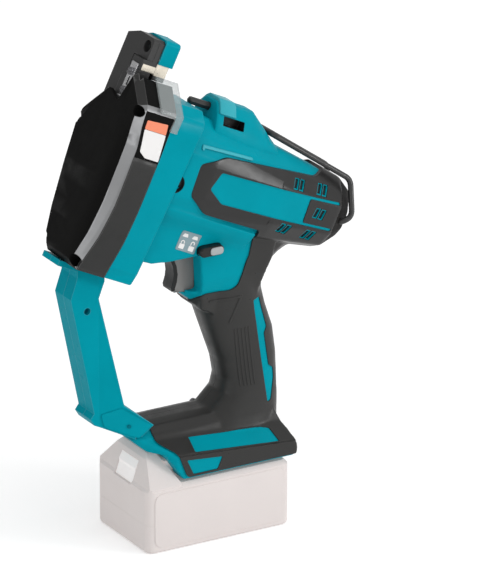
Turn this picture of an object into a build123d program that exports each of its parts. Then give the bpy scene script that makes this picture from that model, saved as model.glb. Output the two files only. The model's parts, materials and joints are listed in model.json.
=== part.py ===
"""Cordless threaded rod cutter, one solid or group of solids for each piece, in millimetres.

Working frame: x to the front of the tool, y to its left, z up, origin at the centre of the
battery pack's base. Head and barrel are drawn square to the motor axis in (u, w, v), u along the
barrel to the front, w to the left and v up, and are tilted together. The finished pieces are
turned half round the z axis, so that the front of the tool points along -X.
"""
from build123d import *
import math
import os

# Barrel and rod
TILT = 26.0
ROD_V = 320.5
ROD_BORE = 4.5
MOTOR_V = 245.0

# Gear head along the barrel
SEAM_U = 149.0
COVER_U = 176.0
FRONT_U = 206.7
WALL = 3.2
REAR_WALL = 4.5
FRONT_CHAMFER = 5.0
HEAD_NEAR = [(27, 157), (29.5, 166), (36, 260), (36.9, 281.6), (35.1, 285.6)]
HEAD_FAR = [(-36, 262), (-38, 250), (-33, 220), (-26, 187), (-20, 168), (-12, 158)]
COVER_OUTLINE = HEAD_NEAR + [(13, 304), (5, 278), (-10, 283), (-19, 281)] + HEAD_FAR
HOUSING_OUTLINE = HEAD_NEAR + [(27.4, 292), (-9, 292), (-19, 281)] + HEAD_FAR
COVER_SCREWS = [(32.0, 279.0), (25.0, 163.0), (-33.5, 252.5), (-16.0, 165.5)]
STRAP_SCREWS = [285.5, 299.8]
FRAME_POSTS = [(22.0, 275.0, 4.5), (-23.0, 273.0, 3.5), (20.0, 190.0, 4.5), (-19.0, 188.0, 4.5)]

# Gear train: motor pinion, cluster wheel, cluster pinion, cam wheel
MODULE_1 = 1.0
MODULE_2 = 1.25
PINION_TEETH = 9
WHEEL_TEETH = 51
SMALL_TEETH = 10
CAM_TEETH = 44
CLUSTER_V = MOTOR_V - MODULE_1 * (PINION_TEETH + WHEEL_TEETH) / 2
CAM_V = CLUSTER_V + MODULE_2 * (SMALL_TEETH + CAM_TEETH) / 2

# Cutting stroke: a spiral of constant rise lifts the ram
STROKE = 12.0
SHEAR_U = 187.0
CAM_SWEEP = 300.0
PITCH_RADIUS = 20.0
ROLLER_RADIUS = 6.0
ROLLER_V = CAM_V + PITCH_RADIUS

# Soft cover over the shell
RUBBER = 2.4
PROUD = 1.2

# Shell screws from the right: side-view place and depth of the head's seat
SHELL_SCREWS = [
    (38.2, 241.1, 15.0), (-31.4, 219.5, 15.0), (7.0, 178.5, 13.5), (20.0, 86.0, 11.0),
    (-8.0, 87.0, 13.0), (-68.4, 272.6, 13.5), (-89.6, 211.1, 16.5), (1.3, 312.2, 18.0),
]

# Vents at the rear of the barrel: middle of each pair of slots, along and square to the barrel
VENTS = [(48.4, 262.7), (24.9, 263.4), (22.0, 246.7), (47.5, 229.2), (22.8, 229.5)]
VENT_PITCH = 5.4
VENT_WIDTH = 3.2
VENT_HEIGHT = 6.4

# Battery pack
PACK_LENGTH = 118.0
PACK_WIDTH = 76.0
PACK_TOP = 50.4
PACK_CORNER = 6.5
CELL_RADIUS = 9.1
FOOT_WIDTH = 75.0

FIT = 0.05
BASE = (Align.CENTER, Align.CENTER, Align.MIN)


def barrel(shape):
    """A shape drawn square to the motor axis, tilted to the barrel."""
    return Rot(0, -TILT, 0) * shape


def side_point(u, v):
    """Side-view place of a point given along and square to the barrel."""
    turn = math.radians(TILT)
    return (u * math.cos(turn) - v * math.sin(turn), u * math.sin(turn) + v * math.cos(turn))


def face_of(points):
    """Flat face inside a closed polygon."""
    return make_face(Polyline(*points, close=True))


def mirrored(points):
    """A half outline on the left, closed by its image on the right."""
    return points + [(-w, v) for w, v in reversed(points)]


def side_prism(points, w0, w1):
    """Polygon of the side view drawn out from w0 to w1."""
    return Pos(0, w1, 0) * extrude(Plane.XZ * face_of(points), amount=w1 - w0)


def axial_prism(points, u0, u1):
    """Polygon of the front view drawn out along the barrel from u0 to u1."""
    return Pos(u0, 0, 0) * extrude(Plane.YZ * face_of(points), amount=u1 - u0)


def block(x0, x1, w0, w1, z0, z1):
    """Plain block between the given faces."""
    centre = Pos((x0 + x1) / 2, (w0 + w1) / 2, (z0 + z1) / 2)
    return centre * Box(x1 - x0, w1 - w0, z1 - z0)


def along_u(radius, u0, u1, w=0.0, v=0.0):
    """Round bar along the barrel."""
    return Pos(u0, w, v) * Rot(0, 90, 0) * Cylinder(radius, u1 - u0, align=BASE)


def along_w(radius, w0, w1, x, z):
    """Round bar across the tool."""
    return Pos(x, w0, z) * Rot(-90, 0, 0) * Cylinder(radius, w1 - w0, align=BASE)


def both_sides(shape):
    """A piece and its image across the middle plane."""
    return shape + mirror(shape, about=Plane.XZ)


def half(shape, side):
    """The part of a shape on the left (side 1) or right (side -1) of the middle plane."""
    keep = block(-200, 200, 0, 90, -10, 450)
    if side < 0:
        keep = block(-200, 200, -90, 0, -10, 450)
    return shape & keep


# Gear head


def cover_solid():
    """Outside of the front cover with its nose, chamfered round the front."""
    head = axial_prism(COVER_OUTLINE, COVER_U, FRONT_U)
    front = head.faces().sort_by(Axis.X)[-1]
    rim = [
        edge for edge in front.edges()
        if not (-19.5 < edge.center().Y < 13.5 and edge.center().Z > 270)
    ]
    return chamfer(rim, FRONT_CHAMFER)


def head_cavity(outline, u0, u1):
    """Room inside the head, one wall thickness within the outline."""
    inner = offset(face_of(outline), -WALL, kind=Kind.INTERSECTION)
    return Pos(u0, 0, 0) * extrude(Plane.YZ * inner, amount=u1 - u0)


def throat():
    """Opening at the top of the head for the frame arm and the ram."""
    wide = block(168, 203.5, -29.4, 17.3, 271, 335)
    return wide + block(168, 203.5, -12.3, 17.3, 258, 335)


def front_cover():
    """Black cover with nose, notch and screw recesses."""
    head = cover_solid()
    shell = head - head_cavity(COVER_OUTLINE, COVER_U - 1, FRONT_U - WALL)
    for w, v in COVER_SCREWS:
        shell += along_u(6.0, COVER_U, FRONT_U - 1, w, v) & head
    shell -= throat()
    for w, v, radius in FRAME_POSTS:
        shell -= along_u(radius + 0.2, COVER_U - 1, 194, w, v)
        shell -= along_u(3.6, 193, 197.5, w, v)
    for w, v in COVER_SCREWS:
        shell -= along_u(4.2, 190, FRONT_U + 1, w, v)
        shell -= along_u(2.2, COVER_U - 1, 191, w, v)
    return barrel(shell)


def cover_screws():
    """Four screws that hold the cover, down in its recesses."""
    group = []
    for w, v in COVER_SCREWS:
        head = along_u(3.7, 190, 193.5, w, v) - along_u(1.6, 191.5, 194, w, v)
        group.append(barrel(head + along_u(2.0, 168.5, 190.5, w, v)))
    return Compound(group)


def gear_housing():
    """Teal box behind the cover, with posts, bearing seat and shaft seat."""
    outline = axial_prism(HOUSING_OUTLINE, SEAM_U, 190)
    shell = axial_prism(HOUSING_OUTLINE, SEAM_U, COVER_U)
    shell = fillet(shell.faces().sort_by(Axis.X)[0].edges(), 3.0)
    shell -= head_cavity(HOUSING_OUTLINE, SEAM_U + REAR_WALL, COVER_U + 1)
    for w, v, radius in FRAME_POSTS:
        shell += along_u(radius, SEAM_U + 1, 188, w, v) & outline
    for w, v in COVER_SCREWS:
        shell += along_u(4.6, 166.5, COVER_U, w, v) & outline
    shell -= throat()
    shell += along_u(15.5, 140.5, SEAM_U + 1, 0, MOTOR_V)
    shell -= along_u(11.02, 140, 148, 0, MOTOR_V)
    shell -= along_u(7.0, 147, 160, 0, MOTOR_V)
    shell += along_u(7.5, SEAM_U + 1, 154.5, 0, CLUSTER_V)
    shell -= along_u(4.0, 150.5, 160, 0, CLUSTER_V)
    for w, v in COVER_SCREWS:
        shell -= along_u(2.0, 168, COVER_U + 1, w, v)
    for w, v, _ in FRAME_POSTS:
        shell -= along_u(1.6, 178, 189, w, v)
    return barrel(shell)


def clear_guard():
    """See-through sheet bent over the nose and down the left side."""
    slope = [(15.2, 302.5), (37.4, 284.0), (36.9, 272.0)]
    outer = [(38.6, 272.0), (39.1, 284.8), (16.2, 303.9)]
    sheet = axial_prism(slope + outer, 171.5, 191)
    return barrel(sheet - block(177.2, 192, 30, 45, 260, 283.2))


def die_frame():
    """Steel C: plate in the head, arm on the right, block over the rod."""
    plate = [(-18, 184), (24, 184), (25.4, 279), (-20, 277), (-25, 266), (-24, 235)]
    frame = axial_prism(plate, 188, 194)
    frame += block(188, 197, -24, -12, 262, 272)
    frame += block(188, 197, -29, -12, 271.5, 282)
    over = [
        (-29, 280), (-12, 280), (-12, 311.5), (6, 311.5), (6, 325.5), (4, 327.5), (-15, 327.5),
        (-29, 322.5),
    ]
    frame += axial_prism(over, SHEAR_U, 197)
    frame += block(174, SHEAR_U + 1, -29, -12, 280, 318)
    frame += block(174, 197, 12, 17, 279.6, 297)
    frame += block(188, 200, -12.5, 17, 277, 296)
    frame += block(190, 200, -8, 6, 295, 303.2)
    frame -= block(180, 192, -7.05, 6.05, 311, 325.85)
    frame -= along_u(ROD_BORE, 170, 200, 0, ROD_V)
    frame -= along_u(7.0, 180, 200, 0, CAM_V)
    frame -= along_u(4.0, 180, 200, 0, CLUSTER_V)
    for w, v, _ in FRAME_POSTS:
        frame -= along_u(2.1, 187, 200, w, v)
        frame -= along_u(3.6, 194, 201, w, v)
    for v in STRAP_SCREWS:
        frame -= along_u(1.5, 192, 201, 0, v)
    return barrel(frame)


def frame_screws():
    """Four screws that hold the frame plate to the posts."""
    group = []
    for w, v, _ in FRAME_POSTS:
        screw = along_u(3.3, 194, 196.8, w, v) + along_u(1.6, 178.5, 194.5, w, v)
        group.append(barrel(screw))
    return Compound(group)


def guide_cap():
    """Teal cap behind the block, open below for the moving die."""
    outline = [
        (-11.9, 311), (7, 311), (7, 329), (-14, 329), (-29, 323.5), (-29, 318.1), (-11.9, 318.1),
    ]
    cap = axial_prism(outline, 174.5, SHEAR_U)
    cap = fillet(cap.edges().filter_by(Axis.X).group_by(Axis.Z)[-1], 3.0)
    cap -= block(176.2, SHEAR_U + 1, -6.0, 6.0, 300, 326.2)
    cap -= along_u(ROD_BORE + 0.2, 160, 178, 0, ROD_V)
    cap -= block(160, 178, -4.7, 4.7, 300, ROD_V)
    return barrel(cap)


def fixed_die():
    """Bare steel plate round the rod, with a lug below the block."""
    die = block(SHEAR_U + 0.2, 191.9, -7, 6, 311.4, 325.8)
    die += block(SHEAR_U + 0.2, 199.9, -7, 6, 303.4, 311.45)
    return barrel(die - along_u(ROD_BORE, 170, 200, 0, ROD_V))


def moving_die():
    """Bare steel block on the ram with a half-round seat for the rod."""
    die = block(176.5, SHEAR_U - 0.2, -5.6, 5.6, 299, 313.5)
    die -= along_u(ROD_BORE, 160, 190, 0, 315.9)
    return barrel(die)


def ram():
    """Slide that carries the moving die, forked round the cam roller."""
    body = block(173.5, 186.5, -11.85, 11.85, 276, 290)
    body += block(173.5, 176, -9, 9, 262, 276)
    body += block(184, 186.5, -9, 9, 262, 276)
    body += block(177, 186.5, -5.6, 5.6, 290, 299)
    return barrel(body - along_u(3.0, 170, 190, 0, ROLLER_V))


def cam_roller():
    """Roller between the cheeks of the ram."""
    roller = along_u(ROLLER_RADIUS, 176.6, 183.4, 0, ROLLER_V)
    return barrel(roller - along_u(3.05, 170, 190, 0, ROLLER_V))


def roller_pin():
    """Pin of the roller."""
    return barrel(along_u(3.0, 173.5, 186.5, 0, ROLLER_V))


def keeper_strap():
    """Bright slotted strap on the front of the frame, with its end bent forward."""
    strap = block(200, 201.4, -4, 4, 281, 307)
    strap += block(200, 203.2, -4, 4, 279.6, 281)
    strap -= block(199, 203, -1.1, 1.1, 289.2, 296.2)
    for v in STRAP_SCREWS:
        strap -= along_u(1.6, 199, 203, 0, v)
    return barrel(strap)


def strap_screws():
    """Two screws of the strap."""
    group = []
    for v in STRAP_SCREWS:
        screw = along_u(2.9, 201.4, 203.2, 0, v) + along_u(1.5, 193, 201.6, 0, v)
        group.append(barrel(screw - block(202.4, 204, -3, 3, v - 0.4, v + 0.4)))
    return Compound(group)


# Gear train


def gear(teeth, module, u0, u1, phase):
    """Spur wheel with straight-flanked teeth, the first tooth at the given angle."""
    pitch = module * teeth / 2
    step = 2 * math.pi / teeth
    profile = [
        (pitch - 1.2 * module, -0.30), (pitch, -0.225), (pitch + 0.9 * module, -0.10),
        (pitch + 0.9 * module, 0.10), (pitch, 0.225), (pitch - 1.2 * module, 0.30),
    ]
    points = []
    for tooth in range(teeth):
        for radius, share in profile:
            angle = math.radians(phase) + (tooth + share) * step
            points.append((radius * math.cos(angle), radius * math.sin(angle)))
    return axial_prism(points, u0, u1)


def motor_pinion():
    """Small wheel on the motor shaft, a gap facing down to the cluster wheel."""
    wheel = gear(PINION_TEETH, MODULE_1, 154.6, 163.4, -90 + 180 / PINION_TEETH)
    return barrel(Pos(0, 0, MOTOR_V) * wheel - along_u(3.0, 150, 170, 0, MOTOR_V))


def cluster_gear():
    """Large wheel and small pinion in one piece, both with a tooth facing up."""
    wheel = gear(WHEEL_TEETH, MODULE_1, 155, 163, 90)
    small = gear(SMALL_TEETH, MODULE_2, 162.9, 174.5, 90)
    body = Pos(0, 0, CLUSTER_V) * (wheel + small)
    return barrel(body - along_u(4.0 + FIT, 150, 180, 0, CLUSTER_V))


def cluster_shaft():
    """Fixed shaft of the cluster gear, between housing and frame plate."""
    return barrel(along_u(4.0, 150.5, 194, 0, CLUSTER_V))


def cam_outline():
    """Cam flank: the roller's path of constant rise, brought in by the roller."""
    inset = ROLLER_RADIUS + 0.3
    rise = []
    for step in range(76):
        turn = CAM_SWEEP * step / 75
        radius = PITCH_RADIUS + STROKE * turn / CAM_SWEEP
        slope = math.atan(STROKE / math.radians(CAM_SWEEP) / radius)
        angle = math.radians(90 - turn)
        lean = angle + slope
        across = radius * math.cos(angle) - inset * math.cos(lean)
        up = radius * math.sin(angle) - inset * math.sin(lean)
        rise.append((across, up))
    high = PITCH_RADIUS + STROKE - inset
    low = PITCH_RADIUS - inset
    drop = []
    for turn in range(10, 60, 10):
        angle = math.radians(90 - CAM_SWEEP - turn)
        radius = high + (low - high) * min(turn / 35, 1)
        drop.append((radius * math.cos(angle), radius * math.sin(angle)))
    return face_of(rise + drop)


def cam_gear():
    """Wheel and spiral cam in one piece on a plain bore."""
    wheel = gear(CAM_TEETH, MODULE_2, 165, 173, -90 + 180 / CAM_TEETH)
    cam = Pos(176.5, 0, 0) * extrude(Plane.YZ * cam_outline(), amount=7.0)
    body = Pos(0, 0, CAM_V) * (wheel + cam)
    body += along_u(12.0, 172, 177, 0, CAM_V)
    return barrel(body - along_u(7.0 + FIT, 160, 190, 0, CAM_V))


def cam_shaft():
    """Stub shaft of the cam gear, seated in the frame plate."""
    return barrel(along_u(7.0, 165.2, 194, 0, CAM_V))


# Motor


def stator():
    """Iron ring with wound ends."""
    ring = along_u(26.8, 75, 120, 0, MOTOR_V)
    ring += along_u(24.5, 70, 125, 0, MOTOR_V)
    return barrel(ring - along_u(15.2, 60, 130, 0, MOTOR_V))


def rotor():
    """Magnet core on the motor shaft."""
    core = along_u(14.4, 74, 121, 0, MOTOR_V)
    core += along_u(4.0, 22, 153, 0, MOTOR_V)
    core += along_u(3.0, 152, 163.4, 0, MOTOR_V)
    return barrel(core)


def fan():
    """Cooling fan behind the rotor."""
    wheel = along_u(24.0, 54, 56, 0, MOTOR_V) + along_u(8.0, 54, 66, 0, MOTOR_V)
    for step in range(12):
        blade = block(55, 64, -0.8, 0.8, 9, 23.4)
        wheel += Pos(0, 0, MOTOR_V) * Rot(30 * step, 0, 0) * blade
    wheel += along_u(10.0, 54, 64, 0, MOTOR_V)
    return barrel(wheel - along_u(4.0, 50, 70, 0, MOTOR_V))


def motor_bearings():
    """Front and rear ball bearing of the motor shaft."""
    group = []
    for u0 in (24.0, 141.0):
        ring = along_u(11.0, u0, u0 + 7, 0, MOTOR_V)
        group.append(barrel(ring - along_u(4.0 + FIT, u0 - 1, u0 + 8, 0, MOTOR_V)))
    return Compound(group)


# Shell with handle and foot


def barrel_section(half_outline, inset):
    """Half outline of the barrel drawn in towards the motor axis."""
    across = 1 - inset / 33
    upright = 1 - inset / 33
    return [(w * across, MOTOR_V + (v - MOTOR_V) * upright) for w, v in half_outline]


def barrel_solid(inset):
    """Faceted motor barrel from the seam to the rounded rear end."""
    stations = [
        (-10.0 + inset, [(7, 266), (12, 259), (16, 252), (16, 240), (12, 233), (7, 230)]),
        (5.0, [(10, 274), (20, 265), (26, 256), (26, 235), (20, 224), (10, 219.5)]),
        (60.0, [(11, 283), (26, 270), (33, 258), (33, 231), (25, 217), (11, 211)]),
        (SEAM_U, [(12, 290), (27, 279), (34, 264), (34, 228), (28, 214), (12, 208)]),
    ]
    faces = []
    for u, outline in stations:
        section = face_of(mirrored(barrel_section(outline, inset)))
        faces.append((Plane.YZ.offset(u) * section).face())
    return barrel(loft(faces, ruled=True))


def trunk_solid(inset):
    """Flat-sided neck between barrel, trigger and grip."""
    outline = [
        side_point(SEAM_U, 240), side_point(SEAM_U, 174), (45, 216.5), (30, 215), (5, 215),
        (5, 184.5), (15.5, 184.5), (17.5, 180.5), (4, 171), (-12, 164), (-40, 164), (-44, 178),
        (-48, 192), (-54, 203), (-60, 226),
    ]
    width = 21.5 - inset
    taper = [(width, 280), (width, 192), (width - 3.5, 160)]
    neck = side_prism(outline, -width, width)
    return neck & axial_prism(mirrored(taper), -100, 100)


def fairing_solid(inset):
    """Hollow slope on both sides that leads from the neck to the barrel."""
    half_outline = [(21.5, 203), (23.6, 207.5), (28, 213.4), (30.5, 219), (10, 224), (10, 203)]
    outline = [(w - inset, v) for w, v in half_outline]
    return barrel(both_sides(axial_prism(outline, 66 + inset, SEAM_U)))


def grip_section(z, front, rear, width, inset):
    """Rounded cross-section of the grip at one height."""
    depth = front - rear - 2 * inset
    wide = 2 * (width - inset)
    corner = 0.46 * min(wide, depth)
    plane = Plane(origin=((front + rear) / 2, 0, z))
    return plane * RectangleRounded(depth, wide, corner)


def grip_solid(inset):
    """Waisted grip lofted through its cross-sections."""
    stations = [
        (206, 4, -62, 21.5), (190, 4, -53, 21.0), (178, 3, -52, 20.0), (164, -0.5, -55.5, 18.6),
        (145, -6.5, -62, 17.6), (125, -13.5, -64.6, 17.2), (111, -16.5, -65, 17.4),
        (101, -14.5, -65.2, 18.6), (92, -6, -66, 21.0), (82, -2, -65.5, 21.5),
    ]
    return loft([grip_section(*station, inset) for station in stations])


def foot_solid(inset):
    """Foot with sloping shoulders above the battery rails."""
    outline = [
        (-64, 51.0), (29, 51.0), (41, 70), (51, 72), (62, 82), (48, 93), (6, 93), (-8, 96),
        (-52, 96), (-57, 84), (-63, 70), (-66, 58),
    ]
    profile = face_of(outline)
    if inset:
        profile = offset(profile, -inset, kind=Kind.INTERSECTION)
    width = FOOT_WIDTH / 2 - inset
    foot = Pos(0, width, 0) * extrude(Plane.XZ * profile, amount=2 * width)
    shoulder = [(45, 66), (37.5 - inset, 70 - inset), (21 - inset, 79 - inset), (15, 99), (45, 99)]
    cut = axial_prism(shoulder, -90, 90)
    foot -= both_sides(cut)
    corner = [(30, 40), (62, 15), (90, 15), (90, 60), (30, 60)]
    taper = Pos(0, 0, 40) * extrude(face_of(corner), amount=70)
    return foot - both_sides(taper)


def shell_solid(inset):
    """Barrel, neck, grip and foot together."""
    solid = barrel_solid(inset) + trunk_solid(inset) + fairing_solid(inset)
    return solid + grip_solid(inset) + foot_solid(inset)


def rubber_zone():
    """Side-view region that carries the soft cover."""
    grip = [
        (14, 180), (2.6, 185.2), (-19.9, 183.8), (-25.7, 186.5), (-32.3, 204.5), (-44.7, 226.3),
        (-120, 215), (-120, 190), (-85, 160), (-85, 54), (25.8, 54), (33, 73), (44, 80), (44, 105),
        (25, 110), (25, 168),
    ]
    pod = [
        (135, 232), (137, 256), (117, 266), (61, 269.5), (31, 270.5), (22, 276), (17, 292),
        (-30, 292), (-30, 200), (60, 200), (65, 222.5), (117, 222),
    ]
    strip = [
        (122.8, 241), (118.5, 255), (37, 257.5), (6, 258.6), (6, 256.6), (35, 255.4), (33.8, 237.6),
        (6, 238.7), (6, 236.7), (35.5, 235.5), (108.7, 233),
    ]
    stripe = [(-40.8, 172), (-46, 174), (-54, 150), (-60, 112), (-52.5, 90), (-47.2, 117)]
    small_badge = [(26.4, 67.4), (-3.1, 64.6), (1.0, 55.6), (21.0, 55.6)]
    long_badge = [(18.5, 23.5), (-46, 25.0), (-50, 35.4), (20.5, 35.0)]
    zone = side_prism(grip, -60, 60) + barrel(side_prism(pod, -60, 60))
    zone -= barrel(side_prism(strip, -60, 60))
    zone -= both_sides(side_prism(stripe, 6, 60) + side_prism(small_badge, 20, 60))
    return zone - both_sides(Pos(0, 0, 68) * extrude(face_of(long_badge), amount=22))


def motor_room():
    """Room for motor, fan, bearing and gear-housing boss."""
    room = along_u(26.85, 74, 121, 0, MOTOR_V)
    room += along_u(26.0, 36, 75, 0, MOTOR_V)
    room += along_u(26.0, 120, SEAM_U + 1, 0, MOTOR_V)
    room += along_u(11.02, 24, 37, 0, MOTOR_V)
    room += along_u(8.0, 14, 25, 0, MOTOR_V)
    return barrel(room)


def shell_room():
    """Everything taken out of the shell for the pieces inside it."""
    duct = [
        (-6, 187), (-44, 187), (-48, 165), (-54, 140), (-56, 112), (-56, 78), (-18, 78),
        (-26, 112), (-18, 140), (-9, 165),
    ]
    room = motor_room() + side_prism(duct, -11, 11)
    room += block(-43.1, -13, -10.1, 10.1, 185.9, 212.1)
    room += block(-13.5, 60, -8.6, 8.6, 184.2, 214.3)
    room += lock_bar_solid(0.3)
    room += block(-50, 30, -20, 20, 67.5, 76)
    return room + rail_slot() + hook_holes() + vents() + shell_screw_holes()


def rail_slot():
    """Tee slot under the foot for the rails of the pack."""
    slot = block(-52, 80, -23, 23, 45, 66)
    slot += block(-52, 80, -26, 26, 57, 66)
    return slot + block(-52, 80, -26, 26, 45, 53.5)


def hook_holes():
    """Holes in the rear of the barrel for the ends of the hook."""
    return barrel(both_sides(along_w(2.3, 13, 40, HOOK_U, MOTOR_V)))


def vents():
    """Pairs of slanted slots on both sides of the barrel's rear."""
    low, high = -VENT_HEIGHT / 2, VENT_HEIGHT / 2
    lean = -0.5
    slots = None
    for u, v in VENTS:
        for start in (u - VENT_PITCH / 2, u + VENT_PITCH / 2):
            front, rear = start + VENT_WIDTH / 2, start - VENT_WIDTH / 2
            outline = [
                (front - lean, v + low), (front + lean, v + high), (rear + lean, v + high),
                (rear - lean, v + low),
            ]
            slot = side_prism(outline, 17, 50)
            slots = slot if slots is None else slots + slot
    return barrel(both_sides(slots))


def shell_screw_holes():
    """Seats on the right and threads on the left for the shell screws."""
    holes = None
    for x, z, seat in SHELL_SCREWS:
        hole = along_w(3.4, -60, -seat, x, z) + along_w(1.6, -seat - 1, 7, x, z)
        holes = hole if holes is None else holes + hole
    return holes


def housing_screws():
    """Screws that hold the two halves of the shell together."""
    group = []
    for x, z, seat in SHELL_SCREWS:
        head = along_w(3.0, -seat - 2.2, -seat, x, z) - along_w(1.3, -seat - 3, -seat - 1.0, x, z)
        group.append(head + along_w(1.6, -seat - 0.2, 7, x, z))
    return Compound(group)


def seam_ports():
    """Half-round ports in the shell at the seam."""
    return barrel(both_sides(along_w(6.8, 29, 60, SEAM_U + 1.5, 237.2)))


def shells():
    """Left and right shell and their soft covers."""
    zone = rubber_zone()
    core = shell_solid(RUBBER)
    room = shell_room()
    shell = core + (shell_solid(PROUD) - zone)
    shell = shell - room - seam_ports()
    rubber = (shell_solid(0) & zone) - core - room
    parts = {}
    for name, side in (("left", 1), ("right", -1)):
        parts[name + "_housing"] = half(shell, side)
        parts[name + "_overmould"] = half(rubber, side)
    return parts


# Controls


HOOK_U = -2.0
LOCK_X = -1.5
LOCK_Z = 219.0


def lock_bar_solid(gap):
    """Oblong bar across the tool, thicker by the gap when it is cut from the shell."""
    reach = 60 if gap else 0
    bar = along_w(3.7 + gap, -21 - reach, 26 + reach, LOCK_X - 6, LOCK_Z)
    bar += along_w(3.7 + gap, -21 - reach, 26 + reach, LOCK_X + 6, LOCK_Z)
    low, high = LOCK_Z - 3.7 - gap, LOCK_Z + 3.7 + gap
    return bar + block(LOCK_X - 6, LOCK_X + 6, -21 - reach, 26 + reach, low, high)


def lock_bar():
    """Lock-off bar, pushed across from either side."""
    bar = lock_bar_solid(0)
    ends = bar.faces().filter_by(Axis.Y)
    return chamfer(ends.edges(), 0.8)


def trigger():
    """Trigger with a hollow front and a stem into the switch pocket."""
    outline = [
        (4, 213.6), (17, 213.6), (21, 212), (21.8, 209.5), (20, 205), (19.2, 199), (19.8, 194),
        (21.6, 188.5), (21, 185.8), (17.5, 184.8), (4, 184.8),
    ]
    body = side_prism(outline, -8.2, 8.2)
    front = [edge for edge in body.edges() if edge.center().X > 18 and abs(edge.center().Y) > 8]
    body = chamfer(front, 2.0)
    return body + block(-5, 5, -6, 6, 191, 208)


def switch_body():
    """Switch behind the trigger."""
    body = block(-43, -16, -10, 10, 186, 212)
    return body + block(-16, -12.2, -5, 5, 193, 206)


def hook():
    """Wire bail: ends in the barrel, legs up the rear and along the top."""
    leg = [(HOOK_U, 14, 245), (HOOK_U, 24, 245), (-9, 24, 253), (1, 22.5, 276), (4, 22, 279)]
    leg.append((76, 10, 291.8))
    points = leg + [(u, -w, v) for u, w, v in reversed(leg)]
    wire = None
    for start, end in zip(points, points[1:]):
        line = Vector(*end) - Vector(*start)
        rod = Plane(origin=start, z_dir=line) * Cylinder(2.0, line.length, align=BASE)
        wire = rod if wire is None else wire + rod
    for point in points[1:-1]:
        wire += Pos(*point) * Sphere(2.0)
    return barrel(wire)


def top_bridge():
    """Holder on top of the shell with a window and a raised clip."""
    outline = [(128.5, 270), (128.5, 298.5), (126.5, 300), (95, 300), (67, 282), (67, 270)]
    body = side_prism(outline, -14, 14)
    ridge = body.edges().filter_by(Axis.X).group_by(Axis.Z)[-1]
    body = chamfer(ridge, 3.0)
    body += block(104, 118, -9, 9, 299, 302.0)
    body -= block(102, 121, -30, 30, 287.5, 295.5)
    body -= block(80, 140, -3.6, 3.6, 287.5, 296.6)
    return barrel(body) - barrel_solid(PROUD)


def hex_key():
    """Key stored under the bridge, its short arm bent to the right."""
    arm = Pos(86, 0, 293) * extrude(Plane.YZ * RegularPolygon(3.0, 6), amount=61)
    short = Pos(144, 3, 293) * extrude(Plane.XZ * RegularPolygon(3.0, 6), amount=27)
    return barrel(arm + short)


# Hand guard and foot inserts


def hand_guard():
    """Arm from the head to the foot, drawn whole before it is halved."""
    arm = [
        (100.6, 223.4), (101, 214), (106.5, 198), (88, 107), (91, 103), (88, 98), (56, 82.5),
        (44.5, 93), (66, 110.5), (83.7, 195), (79.5, 208), (79.5, 213.1),
    ]
    plan = [(110, 11.5), (84, 11.5), (60, 18), (40, 22)]
    solid = side_prism(arm, -30, 30)
    plan += [(x, -w) for x, w in reversed(plan)]
    width = Pos(0, 0, 70) * extrude(face_of(plan), amount=160)
    solid = solid & width
    flange = block(184, 204.5, -11.5, 11.5, 152.8, 157)
    solid += barrel(flange)
    solid -= barrel(axial_prism(COVER_OUTLINE, SEAM_U, FRONT_U))
    solid -= shell_solid(0)
    return solid - along_w(2.6, 6, 40, 93, 187)


def control_board():
    """Board in the foot."""
    return block(-48, 28, -18, 18, 69, 70.6) + block(-40, 10, -14, 14, 70.5, 75)


def terminal_block():
    """Block at the rear of the rail slot."""
    return block(-51.9, -40, -18, 18, 54, 66)


def terminal_blades():
    """Flat contacts that reach into the pack."""
    return Compound([block(-40, -28, w - 0.5, w + 0.5, 56, 64) for w in (-11, 0, 11)])


# Battery pack


def pack_outline(inset):
    """Rounded plan of the pack."""
    size = PACK_LENGTH - 2 * inset, PACK_WIDTH - 2 * inset
    return RectangleRounded(*size, PACK_CORNER - inset)


def pack_lower():
    """Tray of the pack."""
    tray = extrude(pack_outline(0), amount=22)
    tray = fillet(tray.edges().group_by(Axis.Z)[0], 3.0)
    return tray - Pos(0, 0, 2.4) * extrude(pack_outline(2.6), amount=30)


def pack_upper():
    """Lid of the pack with rails and the raised front."""
    lid = Pos(0, 0, 22) * extrude(pack_outline(0), amount=PACK_TOP - 22)
    lid = chamfer(lid.edges().group_by(Axis.Z)[-1], 3.0)
    lid -= Pos(0, 0, 10) * extrude(pack_outline(2.6), amount=33.5)
    front = [(59, 44), (51, 67), (48, 70.5), (45, 71), (41.4, 69.2), (30.4, 50.4), (30.4, 44)]
    slopes = [(37.4, 44), (37.4, 49.5), (19, 69.5), (16.5, 71.5)]
    hump = side_prism(front, -38, 38) & axial_prism(mirrored(slopes), 20, 70)
    lid += hump & Pos(0, 0, 40) * extrude(pack_outline(0), amount=40)
    lid += block(-36, 31, -22.6, 22.6, 48, 65.4) + block(-36, 31, -25.6, 25.6, 57.4, 65.4)
    for w in (-11, 0, 11):
        lid -= block(-37, -25, w - 1.1, w + 1.1, 55, 66)
    return lid - block(43, 62, -12.4, 12.4, 46.4, 63.6)


def pack_button():
    """Release button in the raised front."""
    outline = [(46.6, 46.8), (57.6, 46.8), (54.6, 55.4), (54.8, 57.6), (51.9, 63.2), (46.6, 63.2)]
    return side_prism(outline, -12, 12)


def pack_cells():
    """Ten round cells lying across the pack."""
    group = []
    for z in (11.9, 30.9):
        for column in range(5):
            group.append(along_w(CELL_RADIUS, -32.5, 32.5, 18.9 * (column - 2), z))
    return Compound(group)


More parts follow.
